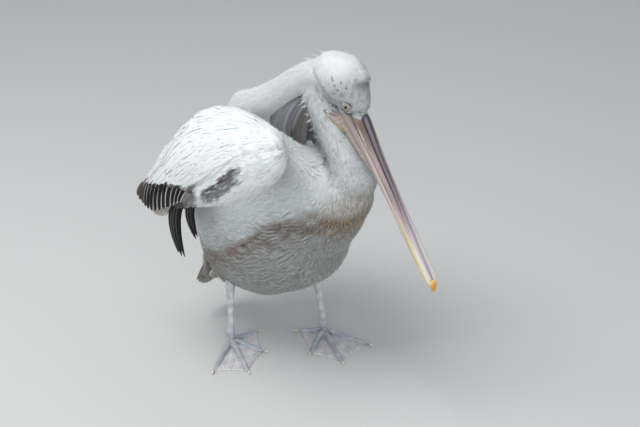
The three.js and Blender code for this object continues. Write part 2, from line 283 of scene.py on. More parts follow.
def along_guide(points: np.ndarray, region: Region) -> tuple[np.ndarray, np.ndarray, np.ndarray, np.ndarray]:
    """Finds each point's place beside a region's guide line.

    Args:
        points: places in stance millimetres.
        region: whose guide.

    Returns:
        The share along the line, the offset from it, its direction there, and the distance from it
        as a share of its radius.
    """
    line, heading, radius = GUIDES[region].samples()
    nearest = np.empty(len(points), int)
    for part in parts_of(len(points)):
        nearest[part] = ((points[part][:, None, :] - line[None]) ** 2).sum(2).argmin(1)
    offset = points - line[nearest]
    heading = heading[nearest]
    share = nearest / (len(line) - 1)
    offset_along = (offset * heading).sum(1)
    step = np.linalg.norm(line[1] - line[0]) * (len(line) - 1)
    share = np.clip(share + offset_along / step, 0, 1)
    ratio = np.linalg.norm(offset, axis=1) / radius[nearest]
    return share, offset, heading, ratio


@dataclass(frozen=True)
class WingLines:
    """Lines on the right wing's outer face, in stance millimetres.

    Attributes:
        streaks: lines that the coverts lie along, from the shoulder to the feathers' tips.
        hem: the edge where the white coverts end, as (x, z).
        heads: where the visible part of each secondary begins.
        tips: where each secondary ends.
        lining: where each pale feather under the secondaries ends.
        hand: root and tip of each hanging hand feather, with its width.
    """
    streaks: tuple = (
        ((80, -124, 532), (28, -111, 530), (-14, -111, 525), (-55, -117, 512), (-83, -126, 496),
         (-103, -145, 470), (-120, -162, 439), (-145, -171, 397), (-173, -171, 355), (-189, -170, 329)),
        ((108, -138, 530), (70, -145, 525), (32, -157, 511), (1, -173, 490), (-31, -183, 458),
         (-64, -187, 422), (-99, -187, 383), (-137, -179, 335)),
        ((130, -148, 522), (103, -166, 517), (65, -178, 495), (28, -187, 468), (-6, -191, 436),
         (-42, -190, 397), (-82, -184, 353)),
        ((144, -149, 507), (126, -176, 492), (89, -186, 469), (44, -190, 434), (4, -190, 402),
         (-35, -183, 363), (-74, -172, 324)),
    )
    hem: tuple = (
        (-230, 330), (-205, 345), (-182, 359), (-145, 369), (-105, 385), (-75, 390), (-60, 388), (-19, 414),
        (25, 446), (66, 486), (90, 502), (130, 516))
    heads: tuple = (
        (-196, -166, 346), (-186, -167, 352), (-176, -170, 356), (-165, -172, 362), (-155, -176, 364),
        (-145, -179, 366), (-131, -181, 373), (-118, -184, 376), (-105, -186, 383), (-89, -188, 386),
        (-75, -189, 389), (-67, -189, 387), (-58, -189, 383))
    tips: tuple = (
        (-219, -161, 314), (-214, -160, 306), (-206, -160, 301), (-195, -164, 299), (-184, -167, 298),
        (-173, -168, 298), (-160, -170, 301), (-147, -171, 307), (-134, -172, 314), (-120, -173, 323),
        (-106, -177, 333), (-95, -179, 341), (-84, -181, 349))
    lining: tuple = (
        (-204, -157, 300), (-196, -156, 293), (-186, -156, 288), (-176, -157, 285), (-165, -158, 286),
        (-153, -160, 292), (-141, -162, 301), (-128, -164, 314))
    hand: tuple = (
        ((-90, -162, 332), (-124, -157, 246), 17), ((-85, -163, 334), (-118, -158, 232), 20),
        ((-80, -165, 336), (-112, -160, 222), 23), ((-72, -167, 339), (-101, -162, 218), 23),
        ((-62, -169, 342), (-91, -164, 221), 21), ((-58, -168, 342), (-69, -162, 286), 17),
        ((-50, -170, 345), (-59, -164, 270), 21), ((-42, -172, 347), (-52, -166, 278), 17))


RIGHT_LINES = WingLines()
# Matching places round the rims of the two wings, by which the one wing's lines go to the other.
RIGHT_EDGE = (
    (150, -136, 517), (114, -126, 530), (54, -98, 530), (-22, -84, 525), (-86, -92, 504), (-144, -112, 455),
    (-198, -136, 376), (-236, -152, 312), (158, -152, 476), (130, -160, 446), (74, -170, 402),
    (14, -174, 370),
    (-50, -174, 342), (-110, -170, 318), (-164, -164, 296), (-210, -158, 284))
LEFT_EDGE = (
    (90, 122, 486), (62, 118, 500), (18, 96, 514), (-42, 84, 514), (-100, 86, 492), (-158, 84, 436),
    (-212, 78, 356), (-246, 72, 296), (96, 138, 456), (70, 144, 436), (26, 152, 398), (-30, 154, 366),
    (-86, 152, 338), (-140, 136, 310), (-190, 116, 284), (-228, 96, 270))


class Side(Enum):
    """The bird's two sides."""
    RIGHT = "right"
    LEFT = "left"

    @property
    def sign(self) -> float:
        """The sign of Y on this side."""
        return -1.0 if self is Side.RIGHT else 1.0

    @property
    def wing(self) -> Region:
        """The region of this side's wing."""
        return Region.WING_RIGHT if self is Side.RIGHT else Region.WING_LEFT

    def turned(self, points: np.ndarray) -> np.ndarray:
        """Returns points of the right wing carried over to this side's wing."""
        points = np.asarray(points, float)
        return points if self is Side.RIGHT else carried(points, RIGHT_EDGE, LEFT_EDGE)

    def brought(self, points: np.ndarray) -> np.ndarray:
        """Returns points of this side's wing carried back to the right wing."""
        return points if self is Side.RIGHT else carried(points, LEFT_EDGE, RIGHT_EDGE)


def wing_side(region: Region) -> Side | None:
    """Returns the side whose wing a region is, or None for the rest of the bird."""
    return next((side for side in Side if side.wing is region), None)


def hem_height(x: np.ndarray) -> np.ndarray:
    """Returns the height where the right wing's white coverts end, at each x."""
    hem = np.array(RIGHT_LINES.hem, float)
    return np.interp(x, hem[:, 0], hem[:, 1])


def wing_streaks(side: Side) -> tuple[np.ndarray, np.ndarray]:
    """Divides a wing's streaks evenly.

    Args:
        side: whose wing.

    Returns:
        Points along the streaks and the directions there.
    """
    fine = np.linspace(0, 1, 30)
    lines = [resampled(side.turned(streak), fine) for streak in RIGHT_LINES.streaks]
    return np.concatenate(lines), np.concatenate([unit(np.gradient(line, axis=0)) for line in lines])


def streak_pull(points: np.ndarray, side: Side) -> np.ndarray:
    """Follows a wing's nearest streaks, blended where two are near.

    Args:
        points: places in stance millimetres.
        side: whose wing.

    Returns:
        The direction at each place.
    """
    stops, headings = wing_streaks(side)
    pull = np.empty((len(points), 3))
    for part in parts_of(len(points)):
        gap = ((points[part][:, None, :] - stops[None]) ** 2).sum(2)
        pull[part] = np.exp(-(gap - gap.min(1, keepdims=True)) / 700) @ headings
    return pull


def lie_of_coat(points: np.ndarray) -> np.ndarray:
    """Finds the direction in which the plumage lies, before it is laid on the skin.

    Args:
        points: places in stance millimetres.

    Returns:
        The unit direction at each place, blended from the guides near it.
    """
    total = np.zeros((len(points), 3))
    for region, guide in GUIDES.items():
        _, _, heading, ratio = along_guide(points, region)
        weight = np.exp(-4.5 * np.clip(ratio, 0.6, 4) ** 2)
        side = wing_side(region)
        pull = heading + DOWN * guide.drop if side is None else streak_pull(points, side)
        if region is Region.HEAD:
            x, y, z = points.T
            cap = smooth_step(602, 616, z) * smooth_step(200, 212, x) * smooth_step(-28, -12, y)
            forward = np.stack([np.full(len(points), 0.85), 0.25 * np.sign(y), np.full(len(points), -0.5)], 1)
            pull = mix(pull, forward, cap)
        total += unit(pull) * weight[:, None]
    return unit(total)


def locks(points: np.ndarray) -> np.ndarray:
    """Draws the wavy locks of the belly.

    Args:
        points: places in stance millimetres.

    Returns:
        -1 in the gaps between locks and up to 1 on their ridges.
    """
    share, offset, heading, _ = along_guide(points, Region.TRUNK)
    across = unit(np.cross(heading, (0.0, 1.0, 0.0)))
    angle = np.arctan2((offset * across).sum(1), np.abs(offset[:, 1]) + 1e-6)
    along = share * 430
    around = angle * 125
    wave = 3.2 * np.sin(along / 6.5 + 2.2 * ripple(points, 50, 31)) + 9 * ripple(points, 80, 32)
    slant = along * 0.45
    return np.sin(2 * math.pi * (around + wave + slant) / 10.5 + 1.3 * ripple(points, 30, 33))


# ------------------------------------------------------------------ mesh helpers
def link(mesh: bpy.types.Mesh, name: str) -> bpy.types.Object:
    """Returns a new object at the origin that shows the mesh."""
    obj = bpy.data.objects.new(name, mesh)
    bpy.context.scene.collection.objects.link(obj)
    return obj


def coordinates(mesh: bpy.types.Mesh) -> np.ndarray:
    """Returns a mesh's vertices as an array of rows."""
    values = np.empty(len(mesh.vertices) * 3, np.float32)
    mesh.vertices.foreach_get("co", values)
    return values.reshape(-1, 3).astype(float)


def vertex_normals(mesh: bpy.types.Mesh) -> np.ndarray:
    """Returns a mesh's vertex normals as an array of rows."""
    values = np.empty(len(mesh.vertices) * 3, np.float32)
    mesh.vertex_normals.foreach_get("vector", values)
    return values.reshape(-1, 3).astype(float)


def set_coordinates(mesh: bpy.types.Mesh, points: np.ndarray) -> None:
    """Moves a mesh's vertices to the given rows."""
    mesh.vertices.foreach_set("co", np.asarray(points, np.float32).ravel())
    mesh.update()


def corners_of(mesh: bpy.types.Mesh) -> tuple[np.ndarray, np.ndarray]:
    """Returns the vertex at each corner of a mesh's faces, and how many corners each face has."""
    vertices = np.empty(len(mesh.loops), int)
    mesh.loops.foreach_get("vertex_index", vertices)
    sides = np.empty(len(mesh.polygons), int)
    mesh.polygons.foreach_get("loop_total", sides)
    return vertices, sides


def select_only(*objects: bpy.types.Object) -> None:
    """Selects these objects and makes the first the active one."""
    bpy.ops.object.select_all(action="DESELECT")
    for obj in objects:
        obj.select_set(True)
    bpy.context.view_layer.objects.active = objects[0]


def edit(obj: bpy.types.Object, *steps: Callable[[], set]) -> None:
    """Runs mesh operators on the whole of a mesh.

    Args:
        obj: the object whose mesh it is.
        steps: the operators, in order.
    """
    select_only(obj)
    bpy.ops.object.mode_set(mode="EDIT")
    bpy.ops.mesh.select_all(action="SELECT")
    for step in steps:
        step()
    bpy.ops.object.mode_set(mode="OBJECT")


def face_outwards() -> set:
    """Turns all faces of the mesh that is being edited outwards."""
    return bpy.ops.mesh.normals_make_consistent(inside=False)


def apply_modifier(obj: bpy.types.Object, kind: str, **settings) -> None:
    """Adds a modifier with its settings and applies it."""
    modifier = obj.modifiers.new(kind.title(), kind)
    for key, value in settings.items():
        setattr(modifier, key, value)
    select_only(obj)
    bpy.ops.object.modifier_apply(modifier=modifier.name)


def fused(names: tuple, name: str, voxel: float, swell: float, relax: int) -> bpy.types.Object:
    """Fuses copies of solids into one even mesh.

    Args:
        names: the nodes to fuse.
        name: the new object's name.
        voxel: size of the mesh's faces in metres.
        swell: how far each copy is swollen first, in metres, so that the cuts close.
        relax: rounds of smoothing afterwards.

    Returns:
        The fused object.
    """
    copies = []
    for node in names:
        copy = link(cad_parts[node].data.copy(), f"{name}_{node}")
        edit(copy, lambda: bpy.ops.mesh.remove_doubles(threshold=0.00002), face_outwards)
        set_coordinates(copy.data, coordinates(copy.data) + vertex_normals(copy.data) * swell)
        copies.append(copy)
    select_only(*copies)
    bpy.ops.object.join()
    whole = bpy.context.view_layer.objects.active
    whole.name = name
    whole.data.name = name
    whole.data.materials.clear()
    apply_modifier(whole, "REMESH", mode="VOXEL", voxel_size=voxel)
    if relax:
        apply_modifier(whole, "SMOOTH", factor=0.5, iterations=relax)
    return whole


def set_tint(mesh: bpy.types.Mesh, colours: np.ndarray) -> None:
    """Stores a linear colour for each vertex in the attribute Tint."""
    attribute = mesh.color_attributes.new("Tint", "FLOAT_COLOR", "POINT")
    values = np.ones((len(mesh.vertices), 4), np.float32)
    values[:, :3] = np.clip(colours, *TINT_RANGE)
    attribute.data.foreach_set("color", values.ravel())


def smooth_shading(mesh: bpy.types.Mesh) -> None:
    """Shades every face of a mesh smooth."""
    mesh.polygons.foreach_set("use_smooth", np.ones(len(mesh.polygons), bool))
    mesh.update()


def triangle_count(mesh: bpy.types.Mesh) -> int:
    """Returns how many triangles the mesh's faces make."""
    return len(mesh.loops) - 2 * len(mesh.polygons)


# ------------------------------------------------------------------ finishes
class Nodes:
    """A small builder for a material's nodes."""

    def __init__(self, name: str) -> None:
        """Starts a material with this name."""
        self.material = bpy.data.materials.new(name)
        self.material.use_nodes = True
        self.tree = self.material.node_tree
        self.shader = self.tree.nodes["Principled BSDF"]

    def add(self, kind: str, **values) -> bpy.types.Node:
        """Adds a node and sets its properties, or its inputs where a name has no property.

        Args:
            kind: of node.
            values: by name, with _ for a space in an input's name.

        Returns:
            The node.
        """
        node = self.tree.nodes.new(kind)
        for key, value in values.items():
            if hasattr(node, key):
                setattr(node, key, value)
            else:
                node.inputs[key.replace("_", " ")].default_value = value
        return node

    def join(self, source: bpy.types.NodeSocket, target: bpy.types.NodeSocket) -> None:
        """Links two sockets."""
        self.tree.links.new(source, target)

    def multiply(self, first: bpy.types.NodeSocket, second: bpy.types.NodeSocket) -> bpy.types.NodeSocket:
        """Returns the product of two colours."""
        node = self.add("ShaderNodeMix", data_type="RGBA", blend_type="MULTIPLY")
        node.inputs[0].default_value = 1.0
        self.join(first, node.inputs[6])
        self.join(second, node.inputs[7])
        return node.outputs[2]

    def cover(self, below: bpy.types.NodeSocket, share: bpy.types.NodeSocket,
              colour: tuple) -> bpy.types.NodeSocket:
        """Lays one colour over another.

        Args:
            below: the colour under it.
            share: how far it covers.
            colour: the covering one, linear.

        Returns:
            The blend.
        """
        node = self.add("ShaderNodeMix", data_type="RGBA")
        self.join(share, node.inputs[0])
        self.join(below, node.inputs[6])
        node.inputs[7].default_value = (*colour, 1)
        return node.outputs[2]

    def ramp(self, source: bpy.types.NodeSocket, stops: tuple) -> bpy.types.NodeSocket:
        """Turns a value into greys.

        Args:
            source: the value.
            stops: as (place, grey).

        Returns:
            The ramp's colour.
        """
        node = self.add("ShaderNodeValToRGB")
        elements = node.color_ramp.elements
        while len(elements) < len(stops):
            elements.new(0.5)
        for element, (place, grey) in zip(elements, stops):
            element.position = place
            element.color = (grey, grey, grey, 1)
        self.join(source, node.inputs[0])
        return node.outputs[0]

    def bump(self, height: bpy.types.NodeSocket, strength: float, distance: float) -> None:
        """Bumps the surface by a height."""
        node = self.add("ShaderNodeBump", Strength=strength, Distance=distance)
        self.join(height, node.inputs["Height"])
        self.join(node.outputs[0], self.shader.inputs["Normal"])

    def set(self, **values) -> None:
        """Sets inputs of the shader."""
        for key, value in values.items():
            self.shader.inputs[key.replace("_", " ")].default_value = value


@dataclass(frozen=True)
class Finish:
    """A surface that shows the vertices' tint, broken up by a pattern.

    Attributes:
        name: of the material.
        roughness: of the surface.
        mottle: how the pattern darkens the tint, as (place, share).
        bump: strength of the pattern's bump.
        relief: height of the bump in metres.
        specular: how strongly the surface mirrors.
    """
    name: str
    roughness: float
    mottle: tuple
    bump: float
    relief: float
    specular: float = 0.5

    def material(self) -> bpy.types.Material:
        """Returns the material, made the first time that it is asked for."""
        if self not in MADE:
            nodes = Nodes(self.name)
            tint = nodes.add("ShaderNodeVertexColor", layer_name="Tint").outputs[0]
            pattern = self.pattern(nodes)
            mottled = nodes.ramp(pattern, self.mottle)
            colour = self.marked(nodes, nodes.multiply(tint, mottled))
            nodes.join(colour, nodes.shader.inputs["Base Color"])
            if self.bump:
                nodes.bump(self.height(pattern, mottled), self.bump, self.relief)
            nodes.set(Roughness=self.roughness, Specular_IOR_Level=self.specular)
            MADE[self] = nodes.material
        return MADE[self]

    def pattern(self, nodes: Nodes) -> bpy.types.NodeSocket:
        """Returns the value of the pattern."""
        raise NotImplementedError

    def marked(self, nodes: Nodes, colour: bpy.types.NodeSocket) -> bpy.types.NodeSocket:
        """Returns the colour with the finish's own markings."""
        return colour

    def height(self, pattern: bpy.types.NodeSocket, mottled: bpy.types.NodeSocket) -> bpy.types.NodeSocket:
        """Returns the height that the bump follows."""
        return pattern


MADE: dict[Finish, bpy.types.Material] = {}


@dataclass(frozen=True)
class Grained(Finish):
    """Down, horn, bare skin or a wet eye, with a noise for its grain.

    Attributes:
        grain: scale of the noise.
        detail: of the noise.
        coarseness: of the noise.
        wetness: weight of a clear wet layer.
    """
    mottle: tuple = ((0.3, 0.86), (0.7, 1.06))
    bump: float = 0.6
    relief: float = 0.00025
    grain: float = 700.0
    detail: float = 4.0
    coarseness: float = 0.6
    wetness: float = 0.0

    def pattern(self, nodes: Nodes) -> bpy.types.NodeSocket:
        """Returns a noise in the object's space."""
        noise = nodes.add("ShaderNodeTexNoise", Scale=self.grain, Detail=self.detail,
                          Roughness=self.coarseness)
        nodes.join(nodes.add("ShaderNodeTexCoord").outputs["Object"], noise.inputs["Vector"])
        nodes.set(Coat_Weight=self.wetness)
        return noise.outputs[0]


@dataclass(frozen=True)
class Scaled(Finish):
    """Leathery skin with small scales.

    Attributes:
        scales: how many scales lie in a metre.
    """
    scales: float = 520.0

    def pattern(self, nodes: Nodes) -> bpy.types.NodeSocket:
        """Returns the distance to the nearest seam between scales."""
        cells = nodes.add("ShaderNodeTexVoronoi", feature="DISTANCE_TO_EDGE", Scale=self.scales)
        nodes.join(nodes.add("ShaderNodeTexCoord").outputs["Object"], cells.inputs["Vector"])
        return cells.outputs[0]

    def height(self, pattern: bpy.types.NodeSocket, mottled: bpy.types.NodeSocket) -> bpy.types.NodeSocket:
        """Returns the seams as grooves between flat scales."""
        return mottled


@dataclass(frozen=True)
class Barbed(Finish):
    """Feathers with fine barbs along the vane and, on some, a pale shaft and white edges.

    Attributes:
        bands: which way the barbs' bands run.
        barbs: scale, distortion, detail and scale of the detail.
        sheen: weight of a soft sheen.
        shafted: whether the shaft is pale.
        edged: whether the vane has white edges and tip.
    """
    roughness: float = 0.6
    mottle: tuple = ((0.0, 0.7), (0.8, 1.0))
    bump: float = 0.35
    relief: float = 0.0004
    specular: float = 0.14
    bands: str = "DIAGONAL"
    barbs: tuple = (16.0, 1.5, 1.0, 1.0)
    sheen: float = 0.0
    shafted: bool = False
    edged: bool = False

    SHAFT = ((0.465, 0.0), (0.49, 1.0), (0.51, 1.0), (0.535, 0.0))
    SIDES = ((0.0, 1.0), (0.12, 1.0), (0.17, 0.0), (0.83, 0.0), (0.88, 1.0))
    TIP = ((0.0, 0.0), (0.94, 0.0), (0.985, 1.0))
    HORN, PALE_HORN, WHITE = (0.16, 0.145, 0.13), (0.34, 0.31, 0.27), (0.72, 0.71, 0.69)

    def pattern(self, nodes: Nodes) -> bpy.types.NodeSocket:
        """Draws the barbs' bands.

        Args:
            nodes: of the material.

        Returns:
            Their value.
        """
        scale, distortion, detail, detail_scale = self.barbs
        wave = nodes.add("ShaderNodeTexWave", wave_type="BANDS", bands_direction=self.bands, Scale=scale,
                         Distortion=distortion, Detail=detail, Detail_Scale=detail_scale)
        nodes.join(nodes.add("ShaderNodeUVMap", uv_map="Vane").outputs[0], wave.inputs["Vector"])
        nodes.set(Sheen_Weight=self.sheen, Sheen_Roughness=0.5)
        return wave.outputs[1]

    def marked(self, nodes: Nodes, colour: bpy.types.NodeSocket) -> bpy.types.NodeSocket:
        """Draws the shaft and the edges.

        Args:
            nodes: of the material.
            colour: of the vane.

        Returns:
            The colour with both.
        """
        vane = nodes.add("ShaderNodeSeparateXYZ")
        nodes.join(nodes.add("ShaderNodeUVMap", uv_map="Vane").outputs[0], vane.inputs[0])
        if self.shafted:
            share = nodes.ramp(vane.outputs[0], self.SHAFT)
            colour = nodes.cover(colour, share, self.PALE_HORN if self.edged else self.HORN)
        if self.edged:
            for axis, stops in enumerate((self.SIDES, self.TIP)):
                colour = nodes.cover(colour, nodes.ramp(vane.outputs[axis], stops), self.WHITE)
        return colour


FEATHERED = Barbed("plumage", 0.78, ((0.0, 0.86), (0.6, 1.0)), 0.25, 0.0004, 0.25,
                   "X", (2.6, 3.0, 2.0, 2.5), 0.25)
DOWNY = Grained("skin", 0.85, ((0.3, 0.72), (0.7, 1.0)), 0.5, 0.0015, grain=420.0, detail=3.0, coarseness=0.5)
GLOSSY = Grained("eye", 0.22, ((0.35, 0.85), (0.65, 1.0)), 0.0, 0.0, 0.25, 2500.0, 2.0, 0.5, 0.35)
LEATHERY = Scaled("leg_skin", 0.55, ((0.0, 0.82), (0.16, 1.0)), 0.35, 0.0002)


def present(obj: bpy.types.Object, finish: Finish, slot: str, *replaced: str) -> bpy.types.Object:
    """Gives a piece its finish, parents it to the body's empty and hides the solids that it stands for.

    Args:
        obj: the piece.
        finish: of its surface.
        slot: not used.
        replaced: the solids that it stands for.

    Returns:
        The piece.
    """
    obj.data.materials.append(finish.material())
    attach(obj, BODY)
    if replaced:
        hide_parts(*replaced)
    LOG.info("%s: %d triangles", obj.name, triangle_count(obj.data))
    return obj


def dress(obj: bpy.types.Object, points: np.ndarray, colours: np.ndarray, finish: Finish, slot: str,
          *replaced: str) -> bpy.types.Object:
    """Moves a piece's vertices into place, paints them and presents the piece.

    Args:
        obj: the piece.
        points: its vertices in stance millimetres.
        colours: the linear colour of each.
        finish: of its surface.
        slot: not used.
        replaced: the solids that it stands for.

    Returns:
        The piece.
    """
    set_coordinates(obj.data, to_frame(points))
    set_tint(obj.data, colours)
    smooth_shading(obj.data)
    return present(obj, finish, slot, *replaced)


# ------------------------------------------------------------------ markings
FLECKS = (
    (171, 617), (173, 613), (177, 604), (184, 596), (150, 593), (211, 618), (190, 611), (221, 606),
    (199, 602))                              # small dark spots on the crown, as (x, z)
STAIN_LINE = (
    (-220, 150), (-145, 170), (0, 272), (55, 312), (101, 340), (150, 352), (186, 356),
    (204, 350))                              # where the white flank meets the belly, as (x, z)


def tail_marks(points: np.ndarray, colour: np.ndarray) -> np.ndarray:
    """Returns the tail's colours, dusky towards its tip."""
    z = points[:, 2]
    colour = mix(colour, PAINT.belly, smooth_step(230, 150, z) * 0.85)
    return mix(colour, PAINT.dusk, smooth_step(150, 100, z) * (0.5 + 0.2 * ripple(points, 24, 6)))


def body_marks(points: np.ndarray, colour: np.ndarray) -> np.ndarray:
    """Paints the grey belly, the stained band over it and the ochre breast, with painted shade in the gaps
    between the belly's locks and painted light on their ridges.

    Args:
        points: places in stance millimetres.
        colour: linear colours there so far.

    Returns:
        The colours.
    """
    x, _, z = points.T
    above = z - (np.interp(x, *np.array(STAIN_LINE, float).T) + 10 * ripple(points, 60, 1))
    low = smooth_step(12, -22, above)
    lock, patch = locks(points), ripple(points, 26, 2)
    colour = mix(colour, PAINT.cool, smooth_step(90, 20, above) * 0.5)
    colour = mix(colour, PAINT.belly, low * 0.85)
    band = np.exp(-((above + 13 + 14 * patch) / 30) ** 2) * (0.42 + 0.4 * patch + 0.6 * lock)
    colour = mix(colour, PAINT.stain, np.clip(band, 0, 1) * 0.85)
    rear = smooth_step(-20, -110, x) * smooth_step(250, 190, z)
    colour = mix(colour, PAINT.umber, rear * (0.5 + 0.3 * lock))
    front = smooth_step(160, 215, x) * smooth_step(412, 372, z) * smooth_step(270, 320, z)
    colour = mix(colour, PAINT.ochre, front * (0.6 + 0.25 * lock))
    # painted shade in the gaps between the belly's locks and painted light on their ridges, strongest near
    # the band
    ridge = 0.26 + 0.4 * np.exp(-((above + 14) / 30) ** 2)
    return colour * (1 + ridge * (lock - 0.2) * low)[:, None]


def throat_marks(points: np.ndarray, colour: np.ndarray) -> np.ndarray:
    """Returns the throat's colours, a little grey, and ochre where it meets the breast."""
    x, _, z = points.T
    colour = mix(colour, PAINT.grey, 0.16 + 0.08 * ripple(points, 18, 3))
    return mix(colour, PAINT.ochre, smooth_step(430, 385, z) * smooth_step(190, 225, x) * 0.5)


def head_marks(points: np.ndarray, colour: np.ndarray) -> np.ndarray:
    """Paints the head's streaked grey cheek, painted shade in the furrow of its nape, its flecks and a
    painted shadow on the brow under the crest's overhang.

    Args:
        points: places in stance millimetres.
        colour: linear colours there so far.

    Returns:
        The colours.
    """
    x, y, z = points.T
    cheek = smooth_step(632, 596, z + 0.25 * (190 - x))
    streak = smooth_step(0.2, 0.9, ripple(points * (1.0, 1.0, 0.55), 9, 4))
    colour = mix(colour, PAINT.grey, cheek * (0.20 + 0.42 * streak))
    # painted shade in the furrow of the nape
    furrow = np.abs((x - 121) * 0.644 + (z - 614) * 0.765) + np.maximum(0, np.abs(x - 140) - 22)
    colour = mix(colour, PAINT.grey, np.exp(-(furrow / 4.5) ** 2) * 0.55)
    for spot_x, spot_z in FLECKS:
        gap = np.hypot((x - spot_x) * 1.5, z - spot_z)
        colour = mix(colour, PAINT.soot, smooth_step(3.4, 1.2, gap) * 0.75)
    # painted shadow on the brow under the crest feathers that hang over it
    brow = smooth_step(618, 610, z) * smooth_step(590, 604, z) * smooth_step(204, 214, x)
    return mix(colour, PAINT.overhang_shadow, brow * smooth_step(-28, -12, y) * 0.55)


def fold_marks(points: np.ndarray, colour: np.ndarray) -> np.ndarray:
    """Returns the fold's colours: a dark grey that is mostly painted shade of the recess behind the neck,
    over greyish feathers, and stained in front.
    """
    x, _, z = points.T
    colour = np.tile(PAINT.fold, (len(colour), 1))
    return mix(colour, PAINT.stain, smooth_step(110, 150, x) * smooth_step(500, 460, z))


def wing_marks(side: Side, points: np.ndarray, colour: np.ndarray) -> np.ndarray:
    """Paints a wing under its white coverts: a painted shadow line under their edge, the dark patch of the
    forewing and the brown behind it.

    Args:
        side: whose wing.
        points: places in stance millimetres.
        colour: linear colours there so far.

    Returns:
        The colours.
    """
    x, _, z = side.brought(points).T
    below = hem_height(x) - z + 3 * ripple(points, 24, 5)
    under = smooth_step(-3, 5, below)
    fine = ripple(points, 9, 8)
    grained = 0.85 + 0.15 * fine
    patch = smooth_step(20, 27, below) * smooth_step(58, 48, below - 0.12 * x)
    patch = patch * smooth_step(-22, -4, x) * smooth_step(92, 70, x)
    quill = np.sin((below - 0.35 * x) * 0.95 + 1.5 * ripple(points, 30, 9))
    loose = np.exp(-((x + 30) / 10) ** 2 - ((z - 358) / 12) ** 2)
    for paint, share in (
        # painted shadow line just under the edge of the white coverts
        (PAINT.hem_shadow, np.exp(-((below - 4) / 4.0) ** 2) * 0.45),
        (PAINT.lead, patch * (0.9 + 0.1 * fine)),
        (PAINT.bark, patch * smooth_step(42, 30, below) * grained),
        (PAINT.quill, patch * smooth_step(0.82, 0.98, quill) * 0.7),
        (PAINT.chestnut, under * smooth_step(-20, -34, x) * grained),
        (PAINT.chalk, np.clip(loose * 1.25 + 0.3 * fine * loose, 0, 1)),
        (PAINT.brown, under * smooth_step(-58, -74, x)),
    ):
        colour = mix(colour, paint, share)
    return colour


MARKS = {
    Region.TAIL: tail_marks, Region.TRUNK: body_marks, Region.NECK_LOWER: body_marks,
    Region.THROAT: throat_marks, Region.HEAD: head_marks, Region.FOLD: fold_marks,
    Region.WING_RIGHT: partial(wing_marks, Side.RIGHT), Region.WING_LEFT: partial(wing_marks, Side.LEFT),
}


def markings(points: np.ndarray, region: Region) -> np.ndarray:
    """Paints the plumage, the same for skin and coat.

    Args:
        points: places in stance millimetres.
        region: the region they lie in.

    Returns:
        The linear colour at each place.
    """
    colour = np.tile(PAINT.white, (len(points), 1))
    marks = MARKS.get(region)
    return np.clip(colour if marks is None else marks(points, colour), 0.005, 0.95)


